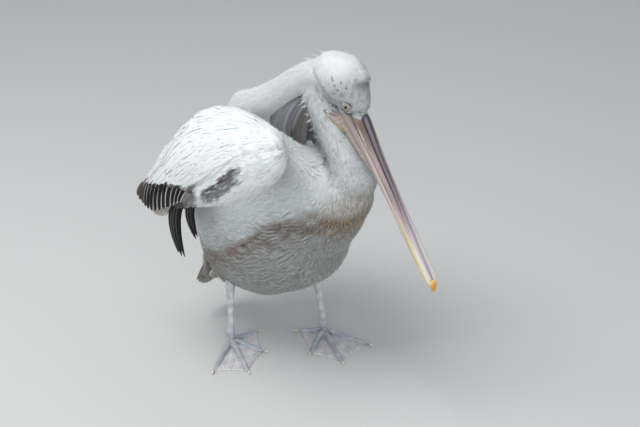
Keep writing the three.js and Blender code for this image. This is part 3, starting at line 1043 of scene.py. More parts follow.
# ------------------------------------------------------------------ skin
class Skin:
    """The one skin under all of the plumage, with each face's region and a grid of what is near it.

    Attributes:
        obj: the Blender object.
        face_region: index of the region of each face.
    """
    VOXEL = 0.0042                           # size of the skin's faces in metres
    CELL = 5.0                               # size of the grid's cells in mm
    BAND = 22.0                              # how far from the skin the grid reaches
    TAIL_START, TAIL_DEPTH = -150.0, 3.0     # where the tail begins, and the coat's depth behind there
    # Places smoothed again, as (centre, radius, rounds), and raised or sunk, as (centre, radius, mm).
    BLENDS = (
        ((214, 0, 378), 78, 60), ((130, 0, 606), 52, 30), ((-90, 0, 460), 60, 30), ((120, 0, 370), 60, 20))
    SWELLS = (
        ((232, 8, 378), 72, 15.0), ((-92, -8, 500), 48, 5.0), ((122, 0, 638), 36, 4.5),
        ((168, 0, 652), 28, -2.5),
        ((-112, -30, 112), 62, 7.0), ((-146, -66, 222), 60, -8.0), ((152, -8, 221), 44, -8.0))

    def __init__(self) -> None:
        """Makes the skin from the flesh, and maps the space round it."""
        self.obj = fused(FLESH, "skin", self.VOXEL, 0.0006, 6)
        self._sort_faces()
        self._sink()
        self._map_space()

    def _sort_faces(self) -> None:
        """Finds which region each face belongs to."""
        mesh = self.obj.data
        centres = np.empty(len(mesh.polygons) * 3, np.float32)
        mesh.polygons.foreach_get("center", centres)
        centres = centres.reshape(-1, 3)
        best = np.full(len(centres), 1e9)
        self.face_region = np.zeros(len(centres), int)
        for index, region in enumerate(Region):
            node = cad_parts[region.value].data
            tree = BVHTree.FromPolygons([v.co for v in node.vertices], [p.vertices[:] for p in node.polygons])
            for i, centre in enumerate(centres):
                distance = tree.find_nearest(Vector(centre), best[i] + 1e-6)[3]
                if distance is not None and distance < best[i]:
                    best[i] = distance
                    self.face_region[i] = index

    def _sink(self) -> None:
        """Moves the skin inwards by the depth of the coat over it."""
        mesh = self.obj.data
        vertices, sides = corners_of(mesh)
        depths = np.array([GUIDES[region].depth for region in Region])[self.face_region]
        total = np.zeros(len(mesh.vertices))
        count = np.zeros(len(mesh.vertices))
        np.add.at(total, vertices, np.repeat(depths, sides))
        np.add.at(count, vertices, 1)
        depth = total / np.maximum(count, 1)
        points = to_stance(coordinates(mesh))
        depth = np.where(points[:, 0] < self.TAIL_START, np.minimum(depth, self.TAIL_DEPTH), depth)
        points -= vertex_normals(mesh) * depth[:, None]
        set_coordinates(mesh, to_frame(points))
        apply_modifier(self.obj, "SMOOTH", factor=0.5, iterations=4)
        for centre, radius, rounds in self.BLENDS:
            weight = self._nearness(centre, radius, 0.45)
            group = self.obj.vertex_groups.new(name="blend")
            for index in np.nonzero(weight > 0.02)[0]:
                group.add([int(index)], float(weight[index]), "REPLACE")
            apply_modifier(self.obj, "SMOOTH", factor=0.5, iterations=rounds, vertex_group="blend")
            self.obj.vertex_groups.clear()
        for centre, radius, swell in self.SWELLS:
            moved = vertex_normals(mesh) * (swell * self._nearness(centre, radius, 0.2))[:, None]
            set_coordinates(mesh, to_frame(to_stance(coordinates(mesh)) + moved))

    def _nearness(self, centre: tuple, radius: float, core: float) -> np.ndarray:
        """Rises smoothly towards a place on the skin.

        Args:
            centre: the place in stance millimetres.
            radius: where the rise begins.
            core: share of the radius within which it is full.

        Returns:
            A value from 0 to 1 for each vertex.
        """
        points = to_stance(coordinates(self.obj.data))
        return smooth_step(1.0, core, np.linalg.norm(points - np.array(centre), axis=1) / radius)

    def _map_space(self) -> None:
        """Stores the distance to the skin, its normal and the lie of the coat on a grid."""
        mesh = self.obj.data
        self.points = to_stance(coordinates(mesh))
        self.faces = [p.vertices[:] for p in mesh.polygons]
        tree = BVHTree.FromPolygons(self.points.tolist(), self.faces)
        self.low = self.points.min(0) - self.BAND - 2 * self.CELL
        high = self.points.max(0) + self.BAND + 2 * self.CELL
        size = np.ceil((high - self.low) / self.CELL).astype(int) + 1
        near = np.zeros(size, bool)
        reach = int(math.ceil(self.BAND / self.CELL))
        cells = np.unique(((self.points - self.low) / self.CELL).round().astype(int), axis=0)
        for shift in np.ndindex(*[2 * reach + 1] * 3):
            shift = np.array(shift) - reach
            if (shift ** 2).sum() <= reach ** 2 + 1:
                near[tuple(np.clip(cells + shift, 0, size - 1).T)] = True
        places = np.argwhere(near)
        centres = places * self.CELL + self.low
        distance = np.empty(len(places))
        normal = np.empty((len(places), 3))
        for i, centre in enumerate(centres):
            spot, facing, _, gap = tree.find_nearest(Vector(centre))
            distance[i] = -gap if (Vector(centre) - spot).dot(facing) < 0 else gap
            normal[i] = facing
        self.distance = np.full(size, self.BAND * 2)
        self.normal = np.zeros((*size, 3))
        self.flow = np.zeros((*size, 3))
        index = tuple(places.T)
        self.distance[index] = distance
        self.normal[index] = normal
        self.flow[index] = lie_of_coat(centres)
        LOG.info("skin: %d faces, %d grid cells", len(self.faces), len(places))

    def dress(self) -> None:
        """Gives the skin the coat's markings, and hides the solids that it stands for."""
        mesh = self.obj.data
        points = to_stance(coordinates(mesh))
        colours = np.zeros((len(points), 3))
        count = np.zeros(len(points))
        vertices, sides = corners_of(mesh)
        owner = np.repeat(self.face_region, sides)
        for index, region in enumerate(Region):
            mine = vertices[owner == index]
            np.add.at(colours, mine, markings(points[mine], region))
            np.add.at(count, mine, 1)
        dress(self.obj, points, colours / np.maximum(count, 1)[:, None], DOWNY, "plumage", *FLESH)

    def near(self, points: np.ndarray) -> tuple[np.ndarray, np.ndarray, np.ndarray]:
        """Reads the grid between its cells.

        Args:
            points: places in stance millimetres.

        Returns:
            The distance from the skin, the outward normal and the lie of the coat at each place.
        """
        place = (points - self.low) / self.CELL
        top = np.array(self.distance.shape) - 2
        base = np.clip(np.floor(place).astype(int), 0, top)
        part = np.clip(place - base, 0, 1)
        distance = np.zeros(len(points))
        normal = np.zeros((len(points), 3))
        flow = np.zeros((len(points), 3))
        for corner in np.ndindex(2, 2, 2):
            weight = np.prod(np.where(np.array(corner) == 1, part, 1 - part), axis=1)
            cell = tuple((base + corner).T)
            distance += self.distance[cell] * weight
            normal += self.normal[cell] * weight[:, None]
            flow += self.flow[cell] * weight[:, None]
        return distance, unit(normal), unit(flow)

    def roots(self, regions: tuple, spacing: float, seed: int) -> tuple[np.ndarray, np.ndarray]:
        """Scatters roots over regions of the skin.

        Args:
            regions: which regions to cover.
            spacing: distance between roots in mm.
            seed: seed of the scatter.

        Returns:
            The roots and the index of each root's region.
        """
        rng = np.random.default_rng(SEED + seed)
        order = list(Region)
        wanted = np.isin(self.face_region, [order.index(region) for region in regions])
        quads = np.array([face if len(face) == 4 else (*face, face[-1]) for face in self.faces])[wanted]
        corners = self.points[quads]
        diagonal = np.cross(corners[:, 2] - corners[:, 0], corners[:, 3] - corners[:, 1])
        expected = np.linalg.norm(diagonal, axis=1) / 2 / spacing ** 2
        count = np.floor(expected + rng.random(len(expected))).astype(int)
        owner = np.repeat(np.arange(len(count)), count)
        u, v = rng.random((2, len(owner), 1))
        chosen = corners[owner]
        edge_a = chosen[:, 0] * (1 - u) + chosen[:, 1] * u
        edge_b = chosen[:, 3] * (1 - u) + chosen[:, 2] * u
        return edge_a * (1 - v) + edge_b * v, self.face_region[wanted][owner]


# ------------------------------------------------------------------ plumage
BAKE_PATCH = 0.003        # size of one feather on the unwrap


@dataclass
class Style:
    """How the feathers grow at each root, one value per root.

    Attributes:
        length: of the feather, in mm.
        width: of its vane, in mm.
        rise: how far its tip stands over the skin, in mm.
        scatter: spread of its direction, in radians.
        curl: how far it swings to one side along its length, in radians.
        dark: share of the tip's colour that is dark.
    """
    length: np.ndarray
    width: np.ndarray
    rise: np.ndarray
    scatter: np.ndarray
    curl: np.ndarray
    dark: np.ndarray


@dataclass(frozen=True)
class Coat:
    """One layer of plumage over some regions.

    Attributes:
        name: of the piece.
        regions: regions that it covers.
        segments: steps along each feather.
        ridge: True for a vane with a raised middle, False for a plain tuft.
        slot: not used.
        spacing: distance between roots in mm.
        style: returns the Style of some roots, with a random generator's help.
        keep: returns which roots grow a feather, or None for all.
        soft: how far the shading follows the skin below instead of each feather.
        relief: returns how far the coat is raised at each place, or None for a flat one.
        whole: True where each feather has one colour all along.
    """
    name: str
    regions: tuple
    segments: int
    ridge: bool
    slot: str
    spacing: float
    style: Callable[[np.ndarray, np.random.Generator], Style]
    keep: Field | None = None
    soft: float = 0.55
    relief: Field | None = None
    whole: bool = False


def feather_mesh(name: str, points: np.ndarray, corners: np.ndarray, starts: np.ndarray,
                 across: np.ndarray, patch: np.ndarray) -> bpy.types.Mesh:
    """Puts the vertices and faces of many like feathers into one mesh, with its two UV maps.

    Args:
        name: of the mesh.
        points: (feathers, rows, lanes, 3) places in stance millimetres.
        corners: the vertex at each corner of the faces.
        starts: the first corner of each face.
        across: place of each lane on the feather, from -1 to 1.
        patch: (feathers, 2) places of the roots on the unwrap.

    Returns:
        The mesh, smooth and without colours.
    """
    count, rows, lanes, _ = points.shape
    mesh = bpy.data.meshes.new(name)
    mesh.vertices.add(count * rows * lanes)
    mesh.vertices.foreach_set("co", to_frame(points.reshape(-1, 3)).astype(np.float32).ravel())
    mesh.loops.add(len(corners))
    mesh.loops.foreach_set("vertex_index", corners.astype(np.int32))
    mesh.polygons.add(len(starts))
    mesh.polygons.foreach_set("loop_start", starts.astype(np.int32))
    mesh.update(calc_edges=True)
    smooth_shading(mesh)
    along = np.linspace(0, 1, rows)
    lane_uv = np.stack(np.broadcast_arrays((across[None, :] + 1) / 2, along[:, None]), -1).reshape(-1, 2)
    vane = np.tile(lane_uv, (count, 1))
    bake = np.repeat(patch, rows * lanes, axis=0) + (vane - 0.5) * BAKE_PATCH
    for layer, values in (("Vane", vane), ("OFBake", np.clip(bake, 0.0, 1.0))):
        uv = mesh.uv_layers.new(name=layer)
        uv.data.foreach_set("uv", values[corners].astype(np.float32).ravel())
    return mesh


def blade_mesh(name: str, centre: np.ndarray, side: np.ndarray, normal: np.ndarray, half: np.ndarray,
               colours: np.ndarray, patch: np.ndarray, ridge: bool, soft: float,
               camber: float = 0.28) -> bpy.types.Mesh:
    """Builds many feathers as one mesh.

    Args:
        name: of the mesh.
        centre: (feathers, rows, 3) places of each shaft in stance millimetres.
        side: (feathers, rows, 3) unit directions across each feather.
        normal: (feathers, rows, 3) unit directions out of each feather's upper face.
        half: (feathers, rows) half widths.
        colours: (feathers, rows, 3) linear colours, or (feathers, rows, lanes, 3).
        patch: (feathers, 2) places of the roots on the unwrap.
        ridge: whether the middle has vertices of its own, raised over the edges.
        soft: how far the shading follows the skin below instead of each feather.
        camber: how far the edges fall, as a share of the half width.

    Returns:
        The mesh.
    """
    count, rows = half.shape
    across = np.array([-1.0, 0.0, 1.0]) if ridge else np.array([-1.0, 1.0])
    lanes = len(across)
    spread = across[None, None, :, None] * half[:, :, None, None] * side[:, :, None, :]
    fall = (np.abs(across) * camber)[None, None, :, None] * half[:, :, None, None] * normal[:, :, None, :]
    grid = np.arange(rows * lanes).reshape(rows, lanes)
    quads = np.stack([grid[:-1, :-1], grid[1:, :-1], grid[1:, 1:], grid[:-1, 1:]], -1).reshape(-1, 4)
    faces = quads[None] + (np.arange(count) * rows * lanes)[:, None, None]
    mesh = feather_mesh(name, centre[:, :, None, :] + spread - fall, faces.ravel(),
                        np.arange(0, faces.size, 4), across, patch)
    if colours.ndim == 3:
        colours = np.repeat(colours[:, :, None], lanes, axis=2)
    set_tint(mesh, colours.reshape(-1, 3))
    below = np.repeat(normal, lanes, axis=1).reshape(-1, 3)
    shading = unit(below * soft + vertex_normals(mesh) * (1 - soft))
    mesh.normals_split_custom_set_from_vertices(shading.tolist())
    return mesh


def unwrap(points: np.ndarray, region: Region) -> np.ndarray:
    """Returns each point's place on an unwrap of its region: along its guide line and around it."""
    share, offset, heading, _ = along_guide(points, region)
    across = unit(np.cross(heading, (0.0, 1.0, 0.0)))
    side = np.cross(across, heading)
    angle = np.arctan2((offset * side).sum(1), (offset * across).sum(1))
    return np.stack([0.02 + 0.96 * share, 0.5 + angle / (2 * math.pi) * 0.96], 1)


def lay(skin: Skin, roots: np.ndarray, length: np.ndarray, tall: np.ndarray, turn: np.ndarray,
        swing: np.ndarray, segments: int,
        relief: Field | None = None) -> tuple[np.ndarray, np.ndarray, np.ndarray]:
    """Lays feathers along the skin from their roots.

    Args:
        skin: what they lie on.
        roots: (feathers, 3) places in stance millimetres.
        length: of each feather.
        tall: how far each tip stands over the skin.
        turn: how far each is turned from the lie of the coat, in radians.
        swing: how far each swings aside and back along its length.
        segments: steps along each feather.
        relief: function of places, how far the feathers are raised there.

    Returns:
        The places, the directions across and the directions outwards, each (feathers, rows, 3).
    """
    count, rows = len(roots), segments + 1
    _, normal, _ = skin.near(roots)
    place = roots - normal * 0.6
    centre = np.empty((count, rows, 3))
    sides = np.empty((count, rows, 3))
    tops = np.empty((count, rows, 3))
    step = length / segments
    for row in range(rows):
        along = row / segments
        distance, normal, flow = skin.near(place)
        flow = unit(flow - normal * (flow * normal).sum(1, keepdims=True))
        angle = (turn + swing * math.sin(along * 5.0))[:, None]
        heading = unit(flow * np.cos(angle) + np.cross(normal, flow) * np.sin(angle))
        centre[:, row] = place
        sides[:, row] = np.cross(normal, heading)
        tops[:, row] = normal
        target = tall * ((along + 1 / segments) ** 0.8)
        if relief is not None:
            target = target + relief(place) * min(1.0, along * 2)
        correction = np.where(np.abs(distance) < skin.BAND, target - distance, 0.0)
        correction = np.clip(correction, -step * 0.6, step * 0.6)
        place = place + heading * step[:, None] + normal * correction[:, None]
    return centre, sides, tops


def grow(skin: Skin, coat: Coat, seed: int) -> bpy.types.Object:
    """Grows one coat piece over the skin.

    Args:
        skin: what it grows on.
        coat: its description.
        seed: of its random numbers.

    Returns:
        The piece.
    """
    rng = np.random.default_rng(SEED * 31 + seed)
    roots, owner = skin.roots(coat.regions, coat.spacing, seed)
    if coat.keep is not None:
        kept = coat.keep(roots)
        roots, owner = roots[kept], owner[kept]
    style = coat.style(roots, rng)
    count, rows = len(roots), coat.segments + 1
    turn = rng.normal(0, 1, count) * style.scatter
    swing = style.curl * rng.choice((-1.0, 1.0), count)
    tall = style.rise * rng.uniform(0.75, 1.12, count)
    centre, sides, tops = lay(skin, roots, style.length, tall, turn, swing, coat.segments, coat.relief)
    along = np.linspace(0, 1, rows)
    if coat.ridge:
        outline = np.interp(along, (0, 0.12, 0.4, 0.75, 0.93, 1), (0.45, 0.72, 0.95, 1.0, 0.66, 0.08))
    else:
        outline = np.interp(along, (0, 0.5, 1), (1.0, 0.72, 0.06))
    half = style.width[:, None] / 2 * outline[None, :]
    colours = np.empty((count, rows, 3))
    patch = np.empty((count, 2))
    for index, region in enumerate(Region):
        mine = owner == index
        if mine.any():
            places = centre[mine]
            if coat.whole:
                places = np.repeat(places[:, rows // 2:rows // 2 + 1], rows, 1)
            colours[mine] = markings(places.reshape(-1, 3), region).reshape(-1, rows, 3)
            patch[mine] = unwrap(roots[mine], region)
    colours = colours * rng.normal(1.0, 0.04, (count, 1, 1))
    # each tip darkens by its style's dark share; painted shade darkens each root, where it lies under the
    # feathers before it
    shade = 1 - style.dark[:, None] * smooth_step(0.25, 0.85, along)[None, :]
    shade = shade * np.interp(along, (0, 0.3, 1), (0.88, 1.0, 1.0))[None, :]
    mesh = blade_mesh(coat.name, centre, sides, tops, half, colours * shade[:, :, None], patch,
                      coat.ridge, coat.soft)
    return present(link(mesh, coat.name), FEATHERED, coat.slot,
                   *(region.value for region in coat.regions))


def vane_mesh(name: str, centre: np.ndarray, side: np.ndarray, normal: np.ndarray, half: np.ndarray,
              colours: np.ndarray, patch: np.ndarray, camber: float, thick: float) -> bpy.types.Mesh:
    """Builds large feathers as closed thin vanes with a raised shaft.

    Args:
        name: of the mesh.
        centre: (feathers, rows, 3) places of each shaft in stance millimetres.
        side: (feathers, rows, 3) unit directions across each feather.
        normal: (feathers, rows, 3) unit directions out of each feather's upper face.
        half: (feathers, rows) half widths.
        colours: (feathers, 3) linear colours.
        patch: (feathers, 2) places of the roots on the unwrap.
        camber: how far the edges fall, as a share of the half width.
        thick: thickness at the shaft in mm.

    Returns:
        The mesh.
    """
    count, rows = half.shape
    across = np.array([-1.0, -0.55, -0.12, 0.0, 0.12, 0.55, 1.0, 0.5, 0.0, -0.5])
    over = np.array([0.0, 0.18, 0.3, 0.62, 0.3, 0.18, 0.0, -0.3, -0.5, -0.3]) * thick
    lanes = len(across)
    spread = across[None, None, :, None] * half[:, :, None, None] * side[:, :, None, :]
    fall = (np.abs(across) ** 1.6 * camber)[None, None, :, None] * half[:, :, None, None]
    thin = np.interp(np.linspace(0, 1, rows), (0, 0.7, 1), (1.0, 0.7, 0.3))
    lift = over[None, None, :, None] * thin[None, :, None, None]
    points = centre[:, :, None, :] + spread + (lift - fall) * normal[:, :, None, :]
    grid = np.arange(rows * lanes).reshape(rows, lanes)
    turned = np.roll(grid, -1, axis=1)
    walls = np.stack([grid[:-1], grid[1:], turned[1:], turned[:-1]], -1).reshape(-1, 4)
    first = (np.arange(count) * rows * lanes)[:, None, None]
    walls = (walls[None] + first).reshape(-1)
    caps = (np.stack([grid[0], grid[-1][::-1]])[None] + first).reshape(-1)
    starts = np.concatenate([np.arange(0, len(walls), 4), len(walls) + np.arange(0, len(caps), lanes)])
    mesh = feather_mesh(name, points, np.concatenate([walls, caps]), starts, across, patch)
    set_tint(mesh, np.repeat(colours, rows * lanes, axis=0))
    return mesh


QUILL_SHARE = 0.35        # how much of a wing feather's visible length goes on under the coverts
LEFT_LIFT = 7.0           # how far the left wing's secondaries are moved out to clear the skin, in mm


@dataclass
class Fan:
    """A set of large feathers that each run from a root to a tip.

    Attributes:
        name: of the piece.
        roots: (feathers, 3) roots in stance millimetres.
        tips: (feathers, 3) tips.
        widths: of each feather.
        region: whose unwrap the roots lie on.
        slot: not used.
        finish: of the vanes.
        replaces: the node that the piece stands for.
        colour: linear colour of the vanes, or one of each vane.
        bow: how far each feather bows outwards, as a share of its length.
        facing: the direction that the upper faces look.
        camber: how far the edges fall.
        swirl: how far each feather bends sideways, as a share of its length.
        taper: share of the length over which the tip narrows.
        round: power of the tip's curve, 1 for a point and 2 for a round end.
        rows: how many rows of vertices lie along a feather.
        thick: thickness at the shaft in mm.
    """
    name: str
    roots: np.ndarray
    tips: np.ndarray
    widths: np.ndarray
    region: Region
    slot: str
    finish: Finish
    replaces: str
    colour: tuple | np.ndarray
    bow: float
    facing: tuple
    camber: float = 0.3
    swirl: float = 0.0
    taper: float = 0.14
    round: float = 2.0
    rows: int = 14
    thick: float = 1.1

    def build(self) -> bpy.types.Object:
        """Makes the piece.

        Returns:
            The piece.
        """
        rng = np.random.default_rng(SEED + len(self.roots))
        along = (1 - (1 - np.linspace(0, 1, self.rows)) ** 1.5)[None, :, None]
        reach = self.tips - self.roots
        length = np.linalg.norm(reach, axis=1, keepdims=True)
        facing = np.broadcast_to(self.facing, reach.shape)
        side = unit(np.cross(facing, reach))
        out = unit(np.cross(reach, side))
        centre = self.roots[:, None] + reach[:, None] * along
        arch = 4 * along * (1 - along)
        centre = centre + out[:, None] * (self.bow * length)[:, None] * arch
        centre = centre + side[:, None] * (self.swirl * length)[:, None] * arch
        heading = unit(np.gradient(centre, axis=1))
        sides = unit(np.cross(np.broadcast_to(out[:, None], heading.shape), heading))
        tops = np.cross(heading, sides)
        line = along[0, :, 0]
        outline = np.interp(line, (0, 0.1, 0.35, 0.7), (0.3, 0.6, 0.92, 1))
        end = np.clip((line - 1 + self.taper) / self.taper, 0, 1)
        outline = outline * np.maximum((1 - end ** self.round) ** (1 / self.round), 0.05)
        half = self.widths[:, None] / 2 * outline[None]
        colours = np.array(self.colour) * rng.normal(1, 0.10, (len(self.roots), 1))
        patch = unwrap(self.roots, self.region)
        mesh = vane_mesh(self.name, centre, sides, tops, half, colours, patch, self.camber, self.thick)
        return present(link(mesh, self.name), self.finish, self.slot, self.replaces)


def flight_feathers(side: Side) -> None:
    """Makes a wing's secondaries, the pale feathers of its lining and its hanging hand feathers.

    Args:
        side: whose wing.
    """
    region, sign, wing, lines = side.wing, side.sign, f"wing_{side.value}", RIGHT_LINES
    heads, tips = side.turned(lines.heads), side.turned(lines.tips)
    lift = np.array([0.0, LEFT_LIFT if side is Side.LEFT else 0.0, 0.0])
    layered = np.linspace(0, 1.5, len(tips))[:, None] * np.array([0, sign, 0])
    shades = np.tile(PAINT.brown, (len(tips), 1)) * 0.7
    shades[:4] = mix(*PAINT.worn, np.linspace(0, 1, 4))
    Fan(f"secondaries_{side.value}", heads + (heads - tips) * QUILL_SHARE + lift + (0, -sign * 7.0, 0),
        tips + (layered + lift), np.full(len(tips), 14.5), region, "flight_feathers",
        Barbed("flight_secondaries", edged=True), f"{wing}_secondaries", shades, 0.05,
        (0.0, sign, 0.25), swirl=0.06 * sign).build()
    ends = side.turned(lines.lining)
    starts = side.turned(np.array(lines.lining, float) + (22.0, -4.0, 48.0))
    Fan(f"wing_lining_{side.value}", starts + (0, -sign * 6.0, 0), ends, np.full(len(ends), 24.0),
        region, "plumage", Barbed("flight_lining", edged=True, shafted=True), f"{wing}_secondaries",
        PAINT.lining, 0.04, (0.0, sign, 0.25), swirl=0.05 * sign).build()
    roots, tips = (side.turned([feather[end] for feather in lines.hand]) for end in (0, 1))
    Fan(f"primaries_{side.value}", roots + (roots - tips) * QUILL_SHARE, tips,
        np.array([width for _, _, width in lines.hand], float), region, "hand_feathers",
        Barbed("flight_primaries", shafted=True), f"{wing}_primaries", PAINT.black, 0.02,
        (0.0, sign, 0.0), swirl=0.19 * sign, camber=0.35, taper=0.4, round=1.5).build()


def fold_feathers() -> None:
    """Makes the long grey feathers that show in the fold of the neck, darker towards the front as painted
    shade of the recess.
    """
    count = 15
    share = np.linspace(0, 1, count)
    wobble = 5.0 * np.sin(np.arange(count) * 2.4)
    # the vanes darken from mid grey to near black towards the front: painted shade deep in the recess
    shades = mix(*PAINT.fold_vanes_shaded, smooth_step(0.35, 1.0, share))
    shades = shades * (1 + 0.3 * np.sin(np.arange(count) * 4.1))[:, None]
    for side, depth in ((Side.RIGHT, 10.0), (Side.LEFT, 17.0)):
        sign = side.sign
        roots = np.stack([16 + 112 * share, np.full(count, sign * depth), 540 + 18 * share], 1)
        tips = np.stack([-20 + 100 * share + wobble, np.full(count, sign * (depth + 6)), 452 + wobble], 1)
        Fan(f"fold_feathers_{side.value}", roots, tips, 17.0 + 0.6 * wobble, Region.FOLD,
            "shaded_plumage", Barbed("flight_fold"), "neck_web", shades, 0.07, (0.1, sign, 0.1),
            swirl=0.08 * sign, taper=0.16, round=1.8).build()


def tail_feathers() -> None:
    """Makes the fan of tail feathers over the tail's solid and the paler one under it."""
    fan = np.linspace(-1, 1, 11)
    level = np.zeros_like(fan)
    roots = np.stack([level - 128.0, fan * 20, 205 - 6 * fan ** 2], 1)
    tips = np.stack([-188 + 10 * fan ** 2, fan * 44, 64 + 26 * fan ** 2], 1)
    Fan("tail_feathers", roots, tips, level + 19.0, Region.TAIL, "flight_feathers",
        Barbed("flight_tail", edged=True, shafted=True), "tail", PAINT.tail, 0.03,
        (-1.0, 0.0, -0.4)).build()
    fan = np.linspace(-0.8, 0.8, 7)
    level = np.zeros_like(fan)
    roots = np.stack([level - 112.0, fan * 18, level + 176.0], 1)
    tips = np.stack([-156 + 10 * fan ** 2, fan * 40, 86 + 26 * fan ** 2], 1)
    Fan("tail_under", roots, tips, level + 20.0, Region.TAIL, "flight_feathers",
        Barbed("flight_tail_under", edged=True, shafted=True), "tail", PAINT.tail_under, 0.02,
        (1.0, 0.0, 0.4)).build()


# ------------------------------------------------------------------ bill
@dataclass(frozen=True)
class HornPaint:
    """Linear colours of the bill; where there are two, they run from its base to its tip."""
    ridge: tuple = ((0.21, 0.19, 0.235), (0.66, 0.61, 0.62))
    flank: tuple = ((0.15, 0.095, 0.07), (0.36, 0.27, 0.27))
    flank_end: tuple = (0.76, 0.69, 0.65)
    streak: tuple = ((0.20, 0.14, 0.15), (0.34, 0.22, 0.27))
    middle: tuple = (0.24, 0.16, 0.21)
    groove: tuple = (0.026, 0.016, 0.016)
    edge: tuple = ((0.60, 0.53, 0.40), (0.66, 0.50, 0.16))
    base: tuple = (0.07, 0.055, 0.09)
    lore: tuple = (0.30, 0.235, 0.20)
    lower: tuple = ((0.33, 0.265, 0.245), (0.62, 0.53, 0.43))
    blotch: tuple = (0.44, 0.30, 0.30)
    pale: tuple = (0.68, 0.62, 0.50)
    yellow: tuple = (0.72, 0.56, 0.20)
    olive: tuple = (0.27, 0.26, 0.13)
    pouch: tuple = (0.40, 0.31, 0.28)
    crease: tuple = (0.22, 0.15, 0.13)
    nail: tuple = ((0.82, 0.56, 0.18), (0.74, 0.31, 0.02))
    claw: tuple = ((0.42, 0.36, 0.27), (0.66, 0.60, 0.47))


HORN = HornPaint()


class Horn:
    """A horny part made from a copy of its solid: fused, relaxed, carved and painted."""

    def __init__(self, node: str, voxel: float, relax: int, slot: str) -> None:
        """Makes the piece.

        Args:
            node: the solid.
            voxel: size of the mesh's faces in metres.
            relax: rounds of smoothing.
            slot: not used.
        """
        self.obj = fused((node,), f"{node}_horn", voxel, 0.0, relax)
        self.node = node
        self.slot = slot

    def places(self) -> np.ndarray:
        """Returns the vertices in stance millimetres."""
        return to_stance(coordinates(self.obj.data))

    def finish(self, points: np.ndarray, colours: np.ndarray, finish: Finish) -> None:
        """Moves the vertices, paints them and hides the solid that the piece stands for."""
        dress(self.obj, points, colours, finish, self.slot, self.node)


